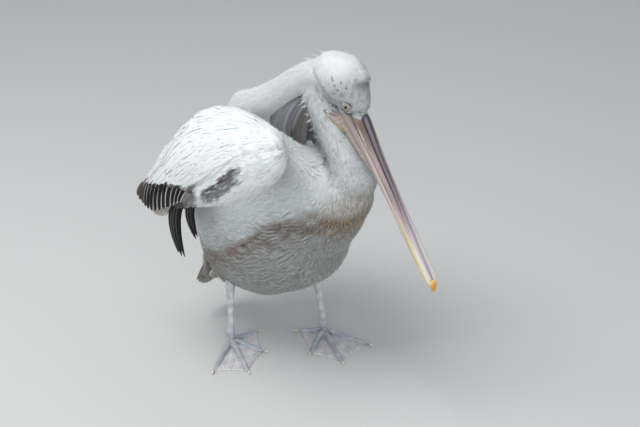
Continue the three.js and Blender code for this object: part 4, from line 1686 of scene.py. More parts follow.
@dataclass(frozen=True)
class Bill:
    """The long bill: two mandibles, the pouch under them and the nail.

    Attributes:
        root: middle of the bill's base in stance millimetres.
        tip: its tip.
        widths: half width of the upper mandible along the bill, as (share of length, mm).
        groove: place of the grooves beside the ridge, as a share of the half width.
        fringe: how far the forehead's feathers reach down the bill, as (mm across it, mm along it).
    """
    root: tuple = (202.0, -2.0, 540.0)
    tip: tuple = (418.6, -44.8, 270.5)
    widths: tuple = (
        (-0.06, 12), (0.034, 18), (0.22, 15.5), (0.5, 13), (0.78, 17), (0.88, 16.5), (0.94, 13), (0.98, 8))
    groove: float = 0.36
    fringe: tuple = (
        (-26, -9), (-20, 1), (-15, 9), (-11.6, 12), (-8, 9.5), (-4.8, 6), (0, 4.5), (4.8, 5), (12, 3),
        (26, -9))

    def axes(self) -> tuple[np.ndarray, np.ndarray, np.ndarray, float]:
        """Returns the forward, side and up directions and the length."""
        reach = np.array(self.tip) - np.array(self.root)
        length = float(np.linalg.norm(reach))
        forward = reach / length
        up = unit(np.cross(forward, (0.0, 1.0, 0.0)))
        return forward, unit(np.cross(up, forward)), up, length

    def local(self, points: np.ndarray) -> tuple[np.ndarray, np.ndarray, np.ndarray]:
        """Returns each point's share along the bill, its share across it and its height."""
        forward, side, up, length = self.axes()
        offset = points - np.array(self.root)
        along = offset @ forward / length
        table = np.array(self.widths)
        return along, offset @ side / np.interp(along, table[:, 0], table[:, 1]), offset @ up

    def upper(self) -> None:
        """Makes the upper mandible, with its ridge and the grooves beside it."""
        horn = Horn("bill_upper", 0.0011, 8, "bill")
        points = horn.places()
        normals = vertex_normals(horn.obj.data)
        along, across, height = self.local(points)
        above = smooth_step(0.15, 0.5, normals @ self.axes()[2])
        ridge = np.exp(-(across / 0.24) ** 2) * (1.6 - 1.2 * smooth_step(0.35, 0.8, along))
        groove = np.exp(-((np.abs(across) - self.groove) / 0.10) ** 2) * smooth_step(0.86, 0.55, along)
        carved = (ridge - 1.7 * groove) * above * smooth_step(-0.05, 0.06, along)
        points = points + normals * carved[:, None]
        noise = ripple(np.stack([along * 40, across * 22, height], 1), 26, 11)
        fine = ripple(np.stack([along * 60, across * 40, height], 1), 12, 12)
        out = np.abs(across)
        far = smooth_step(0.38, 0.86, along)
        flank = mix(mix(*HORN.flank, smooth_step(0.06, 0.3, along)), HORN.flank_end, far)
        colour = mix(mix(*HORN.ridge, far), flank, smooth_step(0.28, 0.5, out))
        streak = smooth_step(0.05, 0.6, noise) * (1 - 0.35 * far)
        colour = mix(colour, mix(*HORN.streak, far), streak * 0.62)
        middle = np.exp(-((across + 0.06 * ripple(points, 40, 13)) / 0.16) ** 2)
        middle = middle * smooth_step(0.35, 0.5, along)
        colour = mix(colour, HORN.middle, middle * smooth_step(0.99, 0.9, along) * 0.7)
        colour = colour * (1 + 0.10 * fine)[:, None]
        # painted shade darkens the carved grooves beside the ridge
        dark = np.exp(-((out - self.groove) / 0.12) ** 2) * smooth_step(0.66, 0.3, along) * above
        colour = mix(colour, HORN.groove, np.clip(dark * 1.3, 0, 1))
        edge = smooth_step(0.93 - 0.18 * far, 0.99 - 0.08 * far, out) * smooth_step(0.02, 0.10, along)
        colour = mix(colour, mix(*HORN.edge, far), edge * 0.9)
        base = smooth_step(0.055, 0.0, along) * smooth_step(0.75, 0.45, out)
        colour = mix(colour, HORN.base, base)
        lore = smooth_step(0.06, 0.0, along) * smooth_step(0.45, 0.75, out)
        colour = mix(colour, HORN.lore, lore * 0.8)
        horn.finish(points, colour, Grained("bill_horn", 0.42))
        self.brow("brow_feathers", points, vertex_normals(horn.obj.data))

    def brow(self, name: str, points: np.ndarray, normals: np.ndarray) -> None:
        """Grows the feathers that run down from the forehead onto the base of a mandible.

        Args:
            name: of the piece.
            points: the mandible's vertices.
            normals: their normals.
        """
        rng = np.random.default_rng(SEED + 5)
        forward, _, up, length = self.axes()
        along, across, _ = self.local(points)
        out = across * np.interp(along, *np.array(self.widths).T)
        reach = np.interp(out, *np.array(self.fringe).T)
        lore = Face.above_lore(points)
        good = (along * length < reach) & (along * length > -50) & (normals @ up > -0.5) & (lore > 0.4)
        roots, out_of = points[good], normals[good]
        count, rows = len(roots), 4
        steps = np.linspace(0, 1, rows)
        size = rng.normal(4.2, 0.6, count)
        heading = -forward + up * 0.2 + rng.normal(0, 0.2, (count, 3))
        heading = unit(heading - out_of * (heading * out_of).sum(1, keepdims=True))
        centre = (roots[:, None] + heading[:, None] * (size[:, None] * steps)[:, :, None]
                  + out_of[:, None] * (0.1 + 1.0 * steps ** 0.8)[None, :, None])
        side = np.repeat(np.cross(out_of, heading)[:, None], rows, axis=1)
        half = 0.55 * np.interp(steps, (0, 0.5, 1), (1.0, 0.8, 0.1))[None].repeat(count, 0)
        colour = markings(roots, Region.HEAD) * rng.normal(0.78, 0.08, (count, 1))
        # painted shade darkens each feather towards its root
        shade = np.interp(steps, (0, 0.4, 1), (0.65, 1.0, 1.0))
        tops = np.repeat(out_of[:, None], rows, axis=1)
        mesh = blade_mesh(name, centre, side, tops, half, colour[:, None] * shade[None, :, None],
                          unwrap(roots, Region.HEAD), False, 0.5)
        present(link(mesh, name), FEATHERED, "plumage")

    def lower(self) -> None:
        """Makes the lower mandible, with a pale edge under the upper one."""
        horn = Horn("bill_lower", 0.0011, 6, "pouch")
        points = horn.places()
        along, across, height = self.local(points)
        top = np.interp(along, (-0.15, 0.0, 0.3, 1.0), (-8, -2, -3, -2))
        far = smooth_step(0.5, 0.95, along)
        colour = mix(*HORN.lower, smooth_step(0.15, 0.8, along))
        noise = ripple(np.stack([along * 40, across * 16, height], 1), 22, 14)
        colour = mix(colour, HORN.blotch, smooth_step(0.0, 0.8, noise) * 0.35)
        pale = np.exp(-((height - top) / 1.3) ** 2) * smooth_step(0.02, 0.12, along)
        colour = mix(colour, HORN.pale, pale * 0.9)
        colour = mix(colour, HORN.yellow, far * 0.4)
        rim = smooth_step(6, 2, height - np.interp(along, (-0.15, 0, 0.2), (-28, -24, -17)))
        colour = mix(colour, HORN.olive, rim * smooth_step(0.19, 0.06, along) * 0.8)
        self.brow("cheek_feathers", points, vertex_normals(horn.obj.data))
        horn.finish(points, colour, Grained("bill_side", 0.46, grain=650.0))

    def pouch(self) -> None:
        """Makes the folded skin of the pouch."""
        horn = Horn("pouch", 0.0012, 6, "pouch")
        points = horn.places()
        normals = vertex_normals(horn.obj.data)
        along, _, height = self.local(points)
        fold = np.sin(height * 1.5 + along * 9 + ripple(points, 30, 15)) * 0.35
        cheek = smooth_step(-3, 4, Face.above_lore(points)) * smooth_step(192, 172, points[:, 0])
        points = points + normals * (fold * (1 - cheek))[:, None]
        points[:, 1] *= 1 + 0.85 * cheek
        rim = smooth_step(-31, -37, height - along * 62) * smooth_step(0.16, 0.02, along)
        colour = mix(HORN.pouch, HORN.olive, rim)
        colour = colour * (1 + 0.16 * ripple(points, 9, 16))[:, None]
        # painted shade darkens the troughs of the folds
        colour = mix(colour, HORN.crease, smooth_step(-0.2, -0.9, fold / 0.35) * 0.5)
        horn.finish(points, colour, Grained("pouch_skin", 0.5, relief=0.0004, grain=900.0))
        self.brow("chin_feathers", points, vertex_normals(horn.obj.data))

    def nail(self) -> None:
        """Makes the hooked nail at the tip."""
        horn = Horn("bill_nail", 0.0008, 4, "nail")
        points = horn.places()
        along, _, _ = self.local(points)
        colour = mix(*HORN.nail, smooth_step(0.935, 0.965, along))
        horn.finish(points, colour, Grained("nail_horn", 0.28, relief=0.0001, grain=500.0))

    def build(self) -> None:
        """Makes all four parts."""
        self.upper()
        self.lower()
        self.pouch()
        self.nail()


# ------------------------------------------------------------------ bare face
@dataclass(frozen=True)
class BarePaint:
    """Linear colours of the bare skin, the eyes, the legs and the feet."""
    cheek: tuple = ((0.40, 0.32, 0.30), (0.25, 0.20, 0.175))
    bloom: tuple = (0.40, 0.36, 0.34)
    olive: tuple = (0.25, 0.245, 0.12)
    lip: tuple = (0.62, 0.56, 0.45)
    seam: tuple = (0.06, 0.045, 0.04)
    lore: tuple = (0.09, 0.06, 0.05)
    corner: tuple = (0.05, 0.05, 0.04)
    pupil: tuple = (0.004, 0.004, 0.004)
    iris: tuple = ((0.36, 0.31, 0.23), (0.47, 0.42, 0.33))
    iris_rim: tuple = (0.10, 0.075, 0.055)
    lid: tuple = (0.50, 0.48, 0.45)
    lid_fold: tuple = (0.22, 0.205, 0.195)
    lid_skin: tuple = (0.38, 0.375, 0.365)
    tear: tuple = (0.27, 0.125, 0.055)
    toe: tuple = (0.44, 0.46, 0.50)
    web: tuple = (0.60, 0.58, 0.59)
    shank: tuple = (0.62, 0.61, 0.61)
    furrow: tuple = (0.13, 0.13, 0.15)
    vein: tuple = (0.20, 0.18, 0.20)
    dust: tuple = (0.70, 0.65, 0.62)


BARE = BarePaint()


@dataclass(frozen=True)
class Face:
    """The bare skin from the corner of the mouth to the eye and the bill, on both sides.

    Attributes:
        mouth: the line of the mouth on the side of the head, as (x, z).
        lore: the line over which the forehead's feathers begin.
        chin: the lower edge of the bare skin.
    """
    mouth: tuple = (
        (146, 546), (160, 538), (175, 533), (190, 531), (198, 529), (208, 521), (218, 512), (240, 488))
    lore: tuple = (
        (150, 547), (158, 544), (170, 543), (184, 546), (196, 546), (203, 544), (215, 543), (222, 541))
    chin: tuple = ((144, 545), (151, 536), (160, 529), (171, 520), (184, 509), (205, 494))

    OUTLINE = (
        (144, 545), (151, 536), (160, 529), (171, 520), (184, 509), (205, 496), (232, 520), (222, 541),
        (215, 543), (203, 544), (196, 546), (184, 546), (170, 543), (158, 544), (150, 547))

    @classmethod
    def above_lore(cls, points: np.ndarray) -> np.ndarray:
        """Returns how far each point lies above the line where the forehead's feathers begin."""
        return points[:, 2] - np.interp(points[:, 0], *np.array(cls.lore, float).T)

    def cut(self) -> bpy.types.Object:
        """Cuts the bare part out of a copy of the solids round the mouth.

        Returns:
            An open sheet on each side of the head.
        """
        obj = fused(("head", "throat", "bill_lower", "bill_upper", "pouch"), "face_skin", 0.0014, 0.0006, 10)
        points = to_stance(coordinates(obj.data))
        grown = tuple((x + (4 if x > 190 else -3), z + (3 if z > 540 else -4.5)) for x, z in self.OUTLINE)
        good = in_outline(points[:, 0], points[:, 2], grown) & (np.abs(points[:, 1]) > 5)
        good &= ((points - np.array(Bill.root)) @ Bill().axes()[0]) < 16
        edit(obj, lambda: bpy.ops.mesh.select_all(action="DESELECT"))
        obj.data.vertices.foreach_set("select", ~good)
        select_only(obj)
        bpy.ops.object.mode_set(mode="EDIT")
        bpy.ops.mesh.delete(type="VERT")
        bpy.ops.object.mode_set(mode="OBJECT")
        return obj

    def build(self) -> None:
        """Makes the piece."""
        obj = self.cut()
        points = to_stance(coordinates(obj.data))
        normals = vertex_normals(obj.data)
        x, _, z = points.T
        mouth = z - np.interp(x, *np.array(self.mouth, float).T)
        chin = z - np.interp(x, *np.array(self.chin, float).T)
        lore = -self.above_lore(points)
        line = np.exp(-(mouth / 0.9) ** 2)
        second = np.exp(-((mouth - 6.5) / 1.1) ** 2) * smooth_step(168, 184, x)
        lip = np.exp(-((mouth + 2.4) / 1.6) ** 2)
        strip = smooth_step(4.2, 1.8, chin)
        wrinkle = np.sin((x * 0.45 + z * 0.9) * 1.1 + 1.5 * ripple(points, 16, 51))
        depth = -2.4 + 0.9 * lip - 1.3 * line - 0.8 * second + 0.7 * strip + 0.12 * wrinkle
        depth = depth - 1.6 * smooth_step(1.5, -1.5, lore) - 5.5 * smooth_step(0.6, -3.4, chin)
        points = points + normals * depth[:, None]
        colour = mix(*BARE.cheek, smooth_step(0, 5, mouth))
        for paint, amount in (
            (BARE.bloom, smooth_step(10, 4, lore) * smooth_step(205, 185, x) * 0.8),
            (BARE.olive, strip * 0.85),
            (BARE.lip, lip * 0.6 * smooth_step(160, 185, x)),
            # painted shade in the carved mouth line and the crease above it
            (BARE.seam, np.clip(line + 0.5 * second, 0, 1) * 0.85),
            (BARE.lore, smooth_step(3.5, 0.5, lore) * smooth_step(176, 192, x) * 0.8),
            (BARE.corner, smooth_step(152, 146, x) * 0.8),
        ):
            colour = mix(colour, paint, amount)
        # the troughs of the wrinkles are a little darker: painted shade
        colour = colour * (1 + 0.14 * ripple(points, 8, 52) + 0.05 * wrinkle)[:, None]
        set_coordinates(obj.data, to_frame(points))
        apply_modifier(obj, "SOLIDIFY", thickness=0.0008, offset=-1.0)
        dress(obj, to_stance(coordinates(obj.data)), np.tile(colour, (2, 1)),
              Grained("face_skin", 0.5, relief=0.0003, grain=1100.0), "pouch")


# ------------------------------------------------------------------ eyes
@dataclass(frozen=True)
class Eye:
    """An eyeball and the lids round it.

    Attributes:
        side: which side of the head.
        centre: middle of the ball in stance millimetres, its Y as on the left side.
        ball: radius of the ball.
        pupil: half angle of the pupil in radians.
        iris: half angle of the iris.
        bare: radius round the middle in which no feathers grow.
        slit: half length and half height of the opening between the lids.
        rows: rings of the lids, as (share of the slit, distance from the ball's middle in mm).
        spokes: how many vertices lie round each ring.
    """
    side: Side
    centre: tuple = (196.5, 23.6, 564.6)
    ball: float = 9.2
    pupil: float = 0.31
    iris: float = 0.52
    bare: float = 8.8
    slit: tuple = (5.3, 3.4)
    rows: tuple = (
        (0.94, 8.8), (1.0, 9.9), (1.10, 10.4), (1.22, 10.3), (1.34, 10.0), (1.46, 9.7), (1.6, 9.0),
        (1.75, 7.6), (1.9, 4.8))
    spokes: int = 64

    def frame_axes(self) -> tuple[np.ndarray, np.ndarray, np.ndarray, np.ndarray]:
        """Returns the centre, the gaze, the direction along the slit and the one across it."""
        sign = self.side.sign
        centre = np.array(self.centre) * (1, sign, 1)
        gaze = unit(np.array([0.36, sign * 0.90, 0.16]))
        along = np.array([0.84, 0.0, -0.54])
        along = unit(along - gaze * (along @ gaze))
        return centre, gaze, along, np.cross(gaze, along) * -sign

    def eyeball(self) -> None:
        """Makes the glossy ball with its iris and pupil."""
        centre, gaze, _, _ = self.frame_axes()
        bpy.ops.object.select_all(action="DESELECT")
        bpy.ops.mesh.primitive_uv_sphere_add(segments=96, ring_count=64, radius=self.ball * MM)
        ball = bpy.context.active_object
        ball.name = f"eyeball_{self.side.value}"
        turn = Vector((0, 0, 1)).rotation_difference(Vector(gaze)).to_matrix()
        local = coordinates(ball.data) / MM
        angle = np.arctan2(np.hypot(local[:, 0], local[:, 1]), local[:, 2])
        bulge = 0.5 * np.exp(-(angle / 0.42) ** 2)
        local = local * (1 + bulge / self.ball)[:, None]
        around = np.arctan2(local[:, 1], local[:, 0])
        fibre = 0.5 + 0.5 * np.sin(around * 23 + 2 * np.sin(around * 7))
        colour = mix(*BARE.iris, fibre)
        colour = mix(colour, BARE.iris_rim, smooth_step(self.iris - 0.05, self.iris + 0.05, angle))
        colour = mix(BARE.pupil, colour, smooth_step(self.pupil - 0.03, self.pupil + 0.03, angle))
        dress(ball, local @ np.array(turn).T + centre, colour, GLOSSY, "eye", f"eye_{self.side.value}")

    def lids(self) -> None:
        """Makes the ring of bare skin round the slit, from its rim out to the feathers."""
        centre, gaze, along, across = self.frame_axes()
        bpy.ops.object.select_all(action="DESELECT")
        bpy.ops.mesh.primitive_circle_add(vertices=self.spokes, radius=0.01)
        ring = bpy.context.active_object
        ring.name = f"lids_{self.side.value}"
        edit(ring, *[lambda: bpy.ops.mesh.extrude_region_move()] * (len(self.rows) - 1))
        turn = np.linspace(0, 2 * math.pi, self.spokes, endpoint=False)
        cosine, sine = np.cos(turn), np.sin(turn)
        points = []
        for reach, depth in self.rows:
            open_share = 1 - 0.8 * smooth_step(1.0, 2.6, reach)
            point = np.sign(cosine) * np.abs(cosine) ** (1 - 0.25 * open_share)
            corner = np.abs(cosine) ** 7 * smooth_step(0.9, 1.2, reach)
            length = self.slit[0] * reach * point * (1 + 0.16 * corner)
            height = (self.slit[1] + (reach - 1) * 3.4) * np.abs(sine) ** (1 + 0.4 * open_share)
            height = height * np.sign(sine) * (1 + 0.12 * (sine > 0))
            flat = np.minimum(np.hypot(length, height), depth * 0.97)
            out = np.sqrt(np.maximum(depth ** 2 - flat ** 2 * 0.62, 1.0))
            out = out + 0.18 * np.sin(turn * 19 + reach * 3) * smooth_step(1.2, 1.6, reach)
            points.append(centre + np.stack([out, length, height], 1) @ np.stack([gaze, along, across]))
        set_coordinates(ring.data, to_frame(np.concatenate(points)))
        apply_modifier(ring, "SOLIDIFY", thickness=0.0007, offset=-1.0)
        apply_modifier(ring, "SUBSURF", levels=1, render_levels=1)
        edit(ring, face_outwards)
        spots = to_stance(coordinates(ring.data)) - centre
        reach = np.hypot(spots @ along / self.slit[0], spots @ across / self.slit[1])
        # painted shade at the slit's edge, where the lids tuck against the ball
        colour = mix(BARE.seam, BARE.lid, smooth_step(1.0, 1.12, reach))
        colour = mix(colour, BARE.lid_fold, smooth_step(1.18, 1.34, reach))
        colour = mix(colour, BARE.lid_skin, smooth_step(1.4, 1.7, reach))
        corner = np.exp(-(((spots @ along - self.slit[0]) / 2.0) ** 2 + (spots @ across / 1.8) ** 2))
        colour = mix(colour, BARE.tear, corner)
        dress(ring, spots + centre, colour, Grained("lid_skin", 0.55, relief=0.0003, grain=1200.0),
              "leg_skin")

    def build(self) -> None:
        """Makes the ball and its lids."""
        self.eyeball()
        self.lids()


# ------------------------------------------------------------------ legs, feet and claws
@dataclass(frozen=True)
class Foot:
    """A leg with its webbed foot and four claws.

    Attributes:
        side: which leg.
        ankle: place of the ankle on the floor plan, in stance millimetres.
        toes: tips of the four toes from the ankle, the hind toe first.
    """
    side: Side
    ankle: tuple
    toes: tuple

    def skin(self) -> None:
        """Makes the scaly skin of the leg, toes and webs."""
        nodes = (f"leg_{self.side.value}", f"foot_{self.side.value}")
        obj = fused(nodes, f"leg_skin_{self.side.value}", 0.00125, 0.0004, 3)
        points = to_stance(coordinates(obj.data))
        normals = vertex_normals(obj.data)
        height = points[:, 2]
        flat = points[:, :2] - np.array(self.ankle)
        gap = np.full(len(points), 1e9)
        along = np.zeros(len(points))
        for toe in self.toes:
            heading = np.array(toe) / np.linalg.norm(toe)
            share = np.clip(flat @ heading, 0, np.linalg.norm(toe))
            away = np.linalg.norm(flat - share[:, None] * heading, axis=1)
            along = np.where(away < gap, share, along)
            gap = np.minimum(gap, away)
        web = smooth_step(5.5, 8.5, gap) * smooth_step(9, 5, height)
        ring = np.sin(along * 2.1 + ripple(points, 14, 21)) * (1 - web) * smooth_step(12, 8, height)
        wrinkle = np.sin(height * 1.5 + 1.2 * ripple(points, 10, 22)) * smooth_step(8, 16, height)
        crease = np.sin(np.arctan2(flat[:, 1], flat[:, 0]) * 46 + ripple(points, 40, 23) * 2) * web
        up = smooth_step(0.1, 0.5, normals[:, 2])
        move = 0.16 * ring * up + 0.13 * wrinkle + 0.12 * crease * up
        points = points + normals * move[:, None]
        points[:, 2] = np.maximum(points[:, 2], 0.0)
        points[:, 2] = np.where(height < 0.6, 0.0, points[:, 2])
        colour = mix(BARE.toe, BARE.web, web)
        colour = mix(colour, BARE.shank, smooth_step(12, 60, height) * 0.8)
        # painted shade darkens the grooves between the rings and wrinkles
        dark = smooth_step(0.2, 0.95, -ring) * 0.35 + smooth_step(0.3, 1, -wrinkle) * 0.3
        colour = mix(colour, BARE.furrow, np.clip(dark, 0, 1))
        colour = mix(colour, BARE.vein, smooth_step(0.75, 1.0, crease) * 0.35)
        colour = colour * (1 + 0.14 * ripple(points, 22, 24) + 0.1 * ripple(points, 6, 25))[:, None]
        dust = web * smooth_step(0.1, 0.9, ripple(points, 34, 26)) * 0.35
        colour = mix(colour, BARE.dust, dust)
        dress(obj, points, colour, LEATHERY, "leg_skin", *nodes)

    def claws(self) -> None:
        """Makes the four claws."""
        for number in range(1, 5):
            horn = Horn(f"claw_{self.side.value}_{number}", 0.0006, 3, "claw")
            points = horn.places()
            out = np.linalg.norm(points[:, :2] - np.array(self.ankle), axis=1)
            share = (out - out.min()) / max(float(np.ptp(out)), 1e-6)
            colour = mix(*HORN.claw, smooth_step(0.1, 0.7, share))
            points[:, 2] = np.maximum(points[:, 2], 0.0)
            horn.finish(points, colour, Grained("claw_horn", 0.35, relief=0.0001, grain=900.0))

    def build(self) -> None:
        """Makes the leg and its claws."""
        self.skin()
        self.claws()


FEET = (
    Foot(Side.RIGHT, (-59.0, -75.0), ((21, 73), (90, 14), (114.5, -70.5), (57, -118))),
    Foot(Side.LEFT, (60.0, 75.0), ((-49, -38), (41, -94), (116, -76), (118, 18.5))),
)


# ------------------------------------------------------------------ camera, floor and light
@dataclass(frozen=True)
class Stage:
    """The camera, the floor and the light.

    Attributes:
        eye: place of the camera in stance millimetres.
        heading: of the camera, in degrees from Y towards minus X.
        pitch: how far it looks down, in degrees.
        focal_pixels: its focal length, in pixels of a picture of this width.
        picture_width: in pixels.
        sensor: width of the camera's sensor in mm.
        floor_size: side of the floor in metres.
        lamps: name, place, size in metres, power in watts and colour of each soft light.
        aim: where the lamps point, in metres.
        sky: colour of the sky.
        sky_strength: of the sky's light.
    """
    eye: tuple = (1724.0, -1954.0, 1550.0)
    heading: float = 39.49
    pitch: float = 25.97
    focal_pixels: float = 1474.0
    picture_width: float = 640.0
    sensor: float = 36.0
    floor_size: float = 14.0
    lamps: tuple = (
        ("key", (-0.6, -0.9, 2.6), 1.5, 48, (1.0, 0.98, 0.95)),
        ("fill", (2.2, -2.2, 1.3), 2.4, 40, (0.92, 0.96, 1.0)),
    )
    aim: tuple = (0.0, 0.0, 0.35)
    sky: tuple = (0.80, 0.87, 0.92, 1)
    sky_strength: float = 0.66

    def build(self) -> None:
        """Makes all three."""
        self.camera()
        self.floor()
        self.light()

    def camera(self) -> None:
        """Makes the camera."""
        data = bpy.data.cameras.new("camera")
        data.sensor_width = self.sensor
        data.lens = self.focal_pixels / self.picture_width * self.sensor
        obj = bpy.data.objects.new("camera", data)
        bpy.context.scene.collection.objects.link(obj)
        obj.location = Vector(to_frame(np.array(self.eye)))
        obj.rotation_euler = (math.radians(90 - self.pitch), 0, math.radians(self.heading))
        bpy.context.scene.camera = obj

    def floor(self) -> None:
        """Makes the plain pale floor."""
        bpy.ops.mesh.primitive_plane_add(size=self.floor_size, location=(0, 0, 0))
        floor = bpy.context.active_object
        floor.name = "floor"
        nodes = Nodes("floor")
        nodes.set(Base_Color=(0.55, 0.55, 0.54, 1), Roughness=0.9)
        floor.data.materials.append(nodes.material)

    def light(self) -> None:
        """Makes a soft key from above and behind the bird's right, a fill and a pale sky."""
        scene = bpy.context.scene
        scene.view_settings.view_transform = "Standard"
        world = bpy.data.worlds.new("sky")
        world.use_nodes = True
        background = world.node_tree.nodes["Background"]
        background.inputs[0].default_value = self.sky
        background.inputs[1].default_value = self.sky_strength
        scene.world = world
        for name, place, size, power, colour in self.lamps:
            data = bpy.data.lights.new(name, "AREA")
            data.size = size
            data.energy = power
            data.color = colour
            lamp = bpy.data.objects.new(name, data)
            scene.collection.objects.link(lamp)
            lamp.location = place
            aim = Vector(self.aim) - Vector(place)
            lamp.rotation_euler = aim.to_track_quat("-Z", "Y").to_euler()


# ------------------------------------------------------------------ build
def neck_style(roots: np.ndarray, rng: np.random.Generator) -> Style:
    """Short velvety feathers of the neck.

    Args:
        roots: where the feathers grow.
        rng: of the coat.

    Returns:
        How they grow.
    """
    count = len(roots)
    return Style(
        length=rng.normal(13, 2.0, count), width=rng.normal(2.5, 0.3, count),
        rise=rng.normal(5.6, 0.35, count),
        scatter=np.full(count, 0.14), curl=rng.uniform(0, 0.2, count), dark=rng.uniform(0, 0.08, count))


def throat_style(roots: np.ndarray, rng: np.random.Generator) -> Style:
    """Speckled short feathers of the throat, standing out in a fringe behind.

    Args:
        roots: where the feathers grow.
        rng: of the coat.

    Returns:
        How they grow.
    """
    count = len(roots)
    speck = rng.random(count) < 0.10 + 0.22 * smooth_step(0, 0.6, ripple(roots, 30, 41))
    fringe = (rng.random(count) < 0.16) * smooth_step(-6, -20, roots[:, 0] - throat_middle(roots[:, 2]))
    return Style(
        length=rng.normal(9.5, 1.5, count) + 6 * fringe, width=rng.normal(2.2, 0.3, count) + 0.4 * fringe,
        rise=rng.normal(4.4, 0.5, count) + 9.0 * fringe, scatter=np.full(count, 0.22),
        curl=rng.uniform(0, 0.3, count), dark=np.where(speck, 0.5, 0.06))


def throat_middle(z: np.ndarray) -> np.ndarray:
    """Returns the x of the throat's middle at each height."""
    return np.interp(z, (372, 424, 464, 505, 548, 596), (212, 196, 174, 146, 120, 118))


def head_style(roots: np.ndarray, rng: np.random.Generator) -> Style:
    """Tiny feathers of the face, growing shaggy over the crown and nape.

    Args:
        roots: where the feathers grow.
        rng: of the coat.

    Returns:
        How they grow.
    """
    count = len(roots)
    back = smooth_step(570, 640, roots[:, 2] + 0.35 * (190 - roots[:, 0]))
    brow = smooth_step(602, 616, roots[:, 2]) * smooth_step(200, 212, roots[:, 0])
    brow = brow * smooth_step(-28, -12, roots[:, 1]) * rng.uniform(0.5, 1.1, count)
    speck = (rng.random(count) < 0.12) * (1 - back)
    return Style(
        length=4.4 + 6 * back + 8 * brow + rng.normal(0, 0.7, count), width=1.5 + 0.6 * back,
        rise=2.8 + 0.9 * back + 3.4 * brow, scatter=0.16 + 0.10 * back + 0.12 * brow,
        curl=0.1 + 0.25 * back * rng.random(count), dark=speck * 0.5 + 0.04)


def trunk_style(roots: np.ndarray, rng: np.random.Generator) -> Style:
    """Body feathers: velvety at the breast, long on the flank, in wavy locks on the belly.

    Args:
        roots: where the feathers grow.
        rng: of the coat.

    Returns:
        How they grow.
    """
    count = len(roots)
    x, _, z = roots.T
    belly = smooth_step(345, 275, z - 0.15 * x)
    breast = smooth_step(100, 170, x) * smooth_step(300, 350, z)
    upper = smooth_step(320, 375, z)
    length = 27 - 5 * belly - 11 * np.maximum(breast, upper)
    return Style(
        length=length * rng.normal(1, 0.12, count),
        width=(4.0 - 1.0 * np.maximum(breast, upper)) * rng.normal(1, 0.1, count),
        rise=(6.8 - 1.2 * breast) * rng.normal(1, 0.06, count),
        scatter=0.10 + 0.05 * belly, curl=0.06 + 0.3 * belly * rng.random(count),
        dark=rng.uniform(0, 0.08, count))


def belly_relief(points: np.ndarray) -> np.ndarray:
    """Returns how far the belly's locks are raised at each place."""
    low = smooth_step(345, 285, points[:, 2] - 0.15 * points[:, 0])
    return 0.9 * locks(points) * low


def on_right_wing(roots: np.ndarray) -> np.ndarray:
    """Returns the roots of either wing, carried to the right wing."""
    return (Side.RIGHT if roots[:, 1].mean() < 0 else Side.LEFT).brought(roots)


def over_hem(roots: np.ndarray) -> np.ndarray:
    """Returns which roots on a wing lie over the edge of the white coverts."""
    place = on_right_wing(roots)
    return place[:, 2] > hem_height(place[:, 0]) + 8


def under_hem(roots: np.ndarray) -> np.ndarray:
    """Returns which roots on a wing lie under that edge, ahead of the secondaries."""
    place = on_right_wing(roots)
    return (place[:, 2] < hem_height(place[:, 0]) + 16) & (place[:, 0] > -70)


def covert_style(roots: np.ndarray, rng: np.random.Generator) -> Style:
    """Long narrow white coverts that end together at the hem.

    Args:
        roots: where the feathers grow.
        rng: of the coat.

    Returns:
        How they grow.
    """
    count = len(roots)
    place = on_right_wing(roots)
    stops, headings = wing_streaks(Side.RIGHT)
    nearest = ((place[:, None, :] - stops[None]) ** 2).sum(2).argmin(1)
    heading = headings[nearest]
    room = np.full(count, 400.0)
    for reach in np.arange(0, 130, 4.0):
        spot = place + heading * reach
        out = (spot[:, 2] < hem_height(spot[:, 0])) & (room > 300)
        room[out] = reach
    front = smooth_step(60, 120, place[:, 0])
    length = np.minimum((105 - 78 * front) * rng.normal(1, 0.15, count), room + rng.uniform(-9, 15, count))
    return Style(
        length=np.maximum(length, 16), width=(7.6 - 3.4 * front) * rng.normal(1, 0.12, count),
        rise=(4.4 - 0.6 * front) * rng.normal(1, 0.06, count), scatter=np.full(count, 0.03),
        curl=rng.uniform(0, 0.04, count), dark=rng.uniform(0, 0.05, count))


def forewing_style(roots: np.ndarray, rng: np.random.Generator) -> Style:
    """Shorter, broader coverts below the hem.

    Args:
        roots: where the feathers grow.
        rng: of the coat.

    Returns:
        How they grow.
    """
    count = len(roots)
    place = on_right_wing(roots)
    return Style(
        length=rng.normal(44, 4, count), width=rng.normal(5.6, 0.6, count),
        rise=(3.0 + 1.6 * smooth_step(10, 60, hem_height(place[:, 0]) - place[:, 2])
              + rng.normal(0, 0.15, count)),
        scatter=np.full(count, 0.06), curl=rng.uniform(0, 0.06, count), dark=rng.uniform(-0.1, 0.12, count))


def tail_style(roots: np.ndarray, rng: np.random.Generator) -> Style:
    """Smooth feathers over the root of the tail.

    Args:
        roots: where the feathers grow.
        rng: of the coat.

    Returns:
        How they grow.
    """
    count = len(roots)
    return Style(
        length=rng.normal(26, 3, count), width=rng.normal(6, 0.8, count), rise=rng.normal(3.0, 0.3, count),
        scatter=np.full(count, 0.08), curl=rng.uniform(0, 0.05, count), dark=rng.uniform(0, 0.2, count))


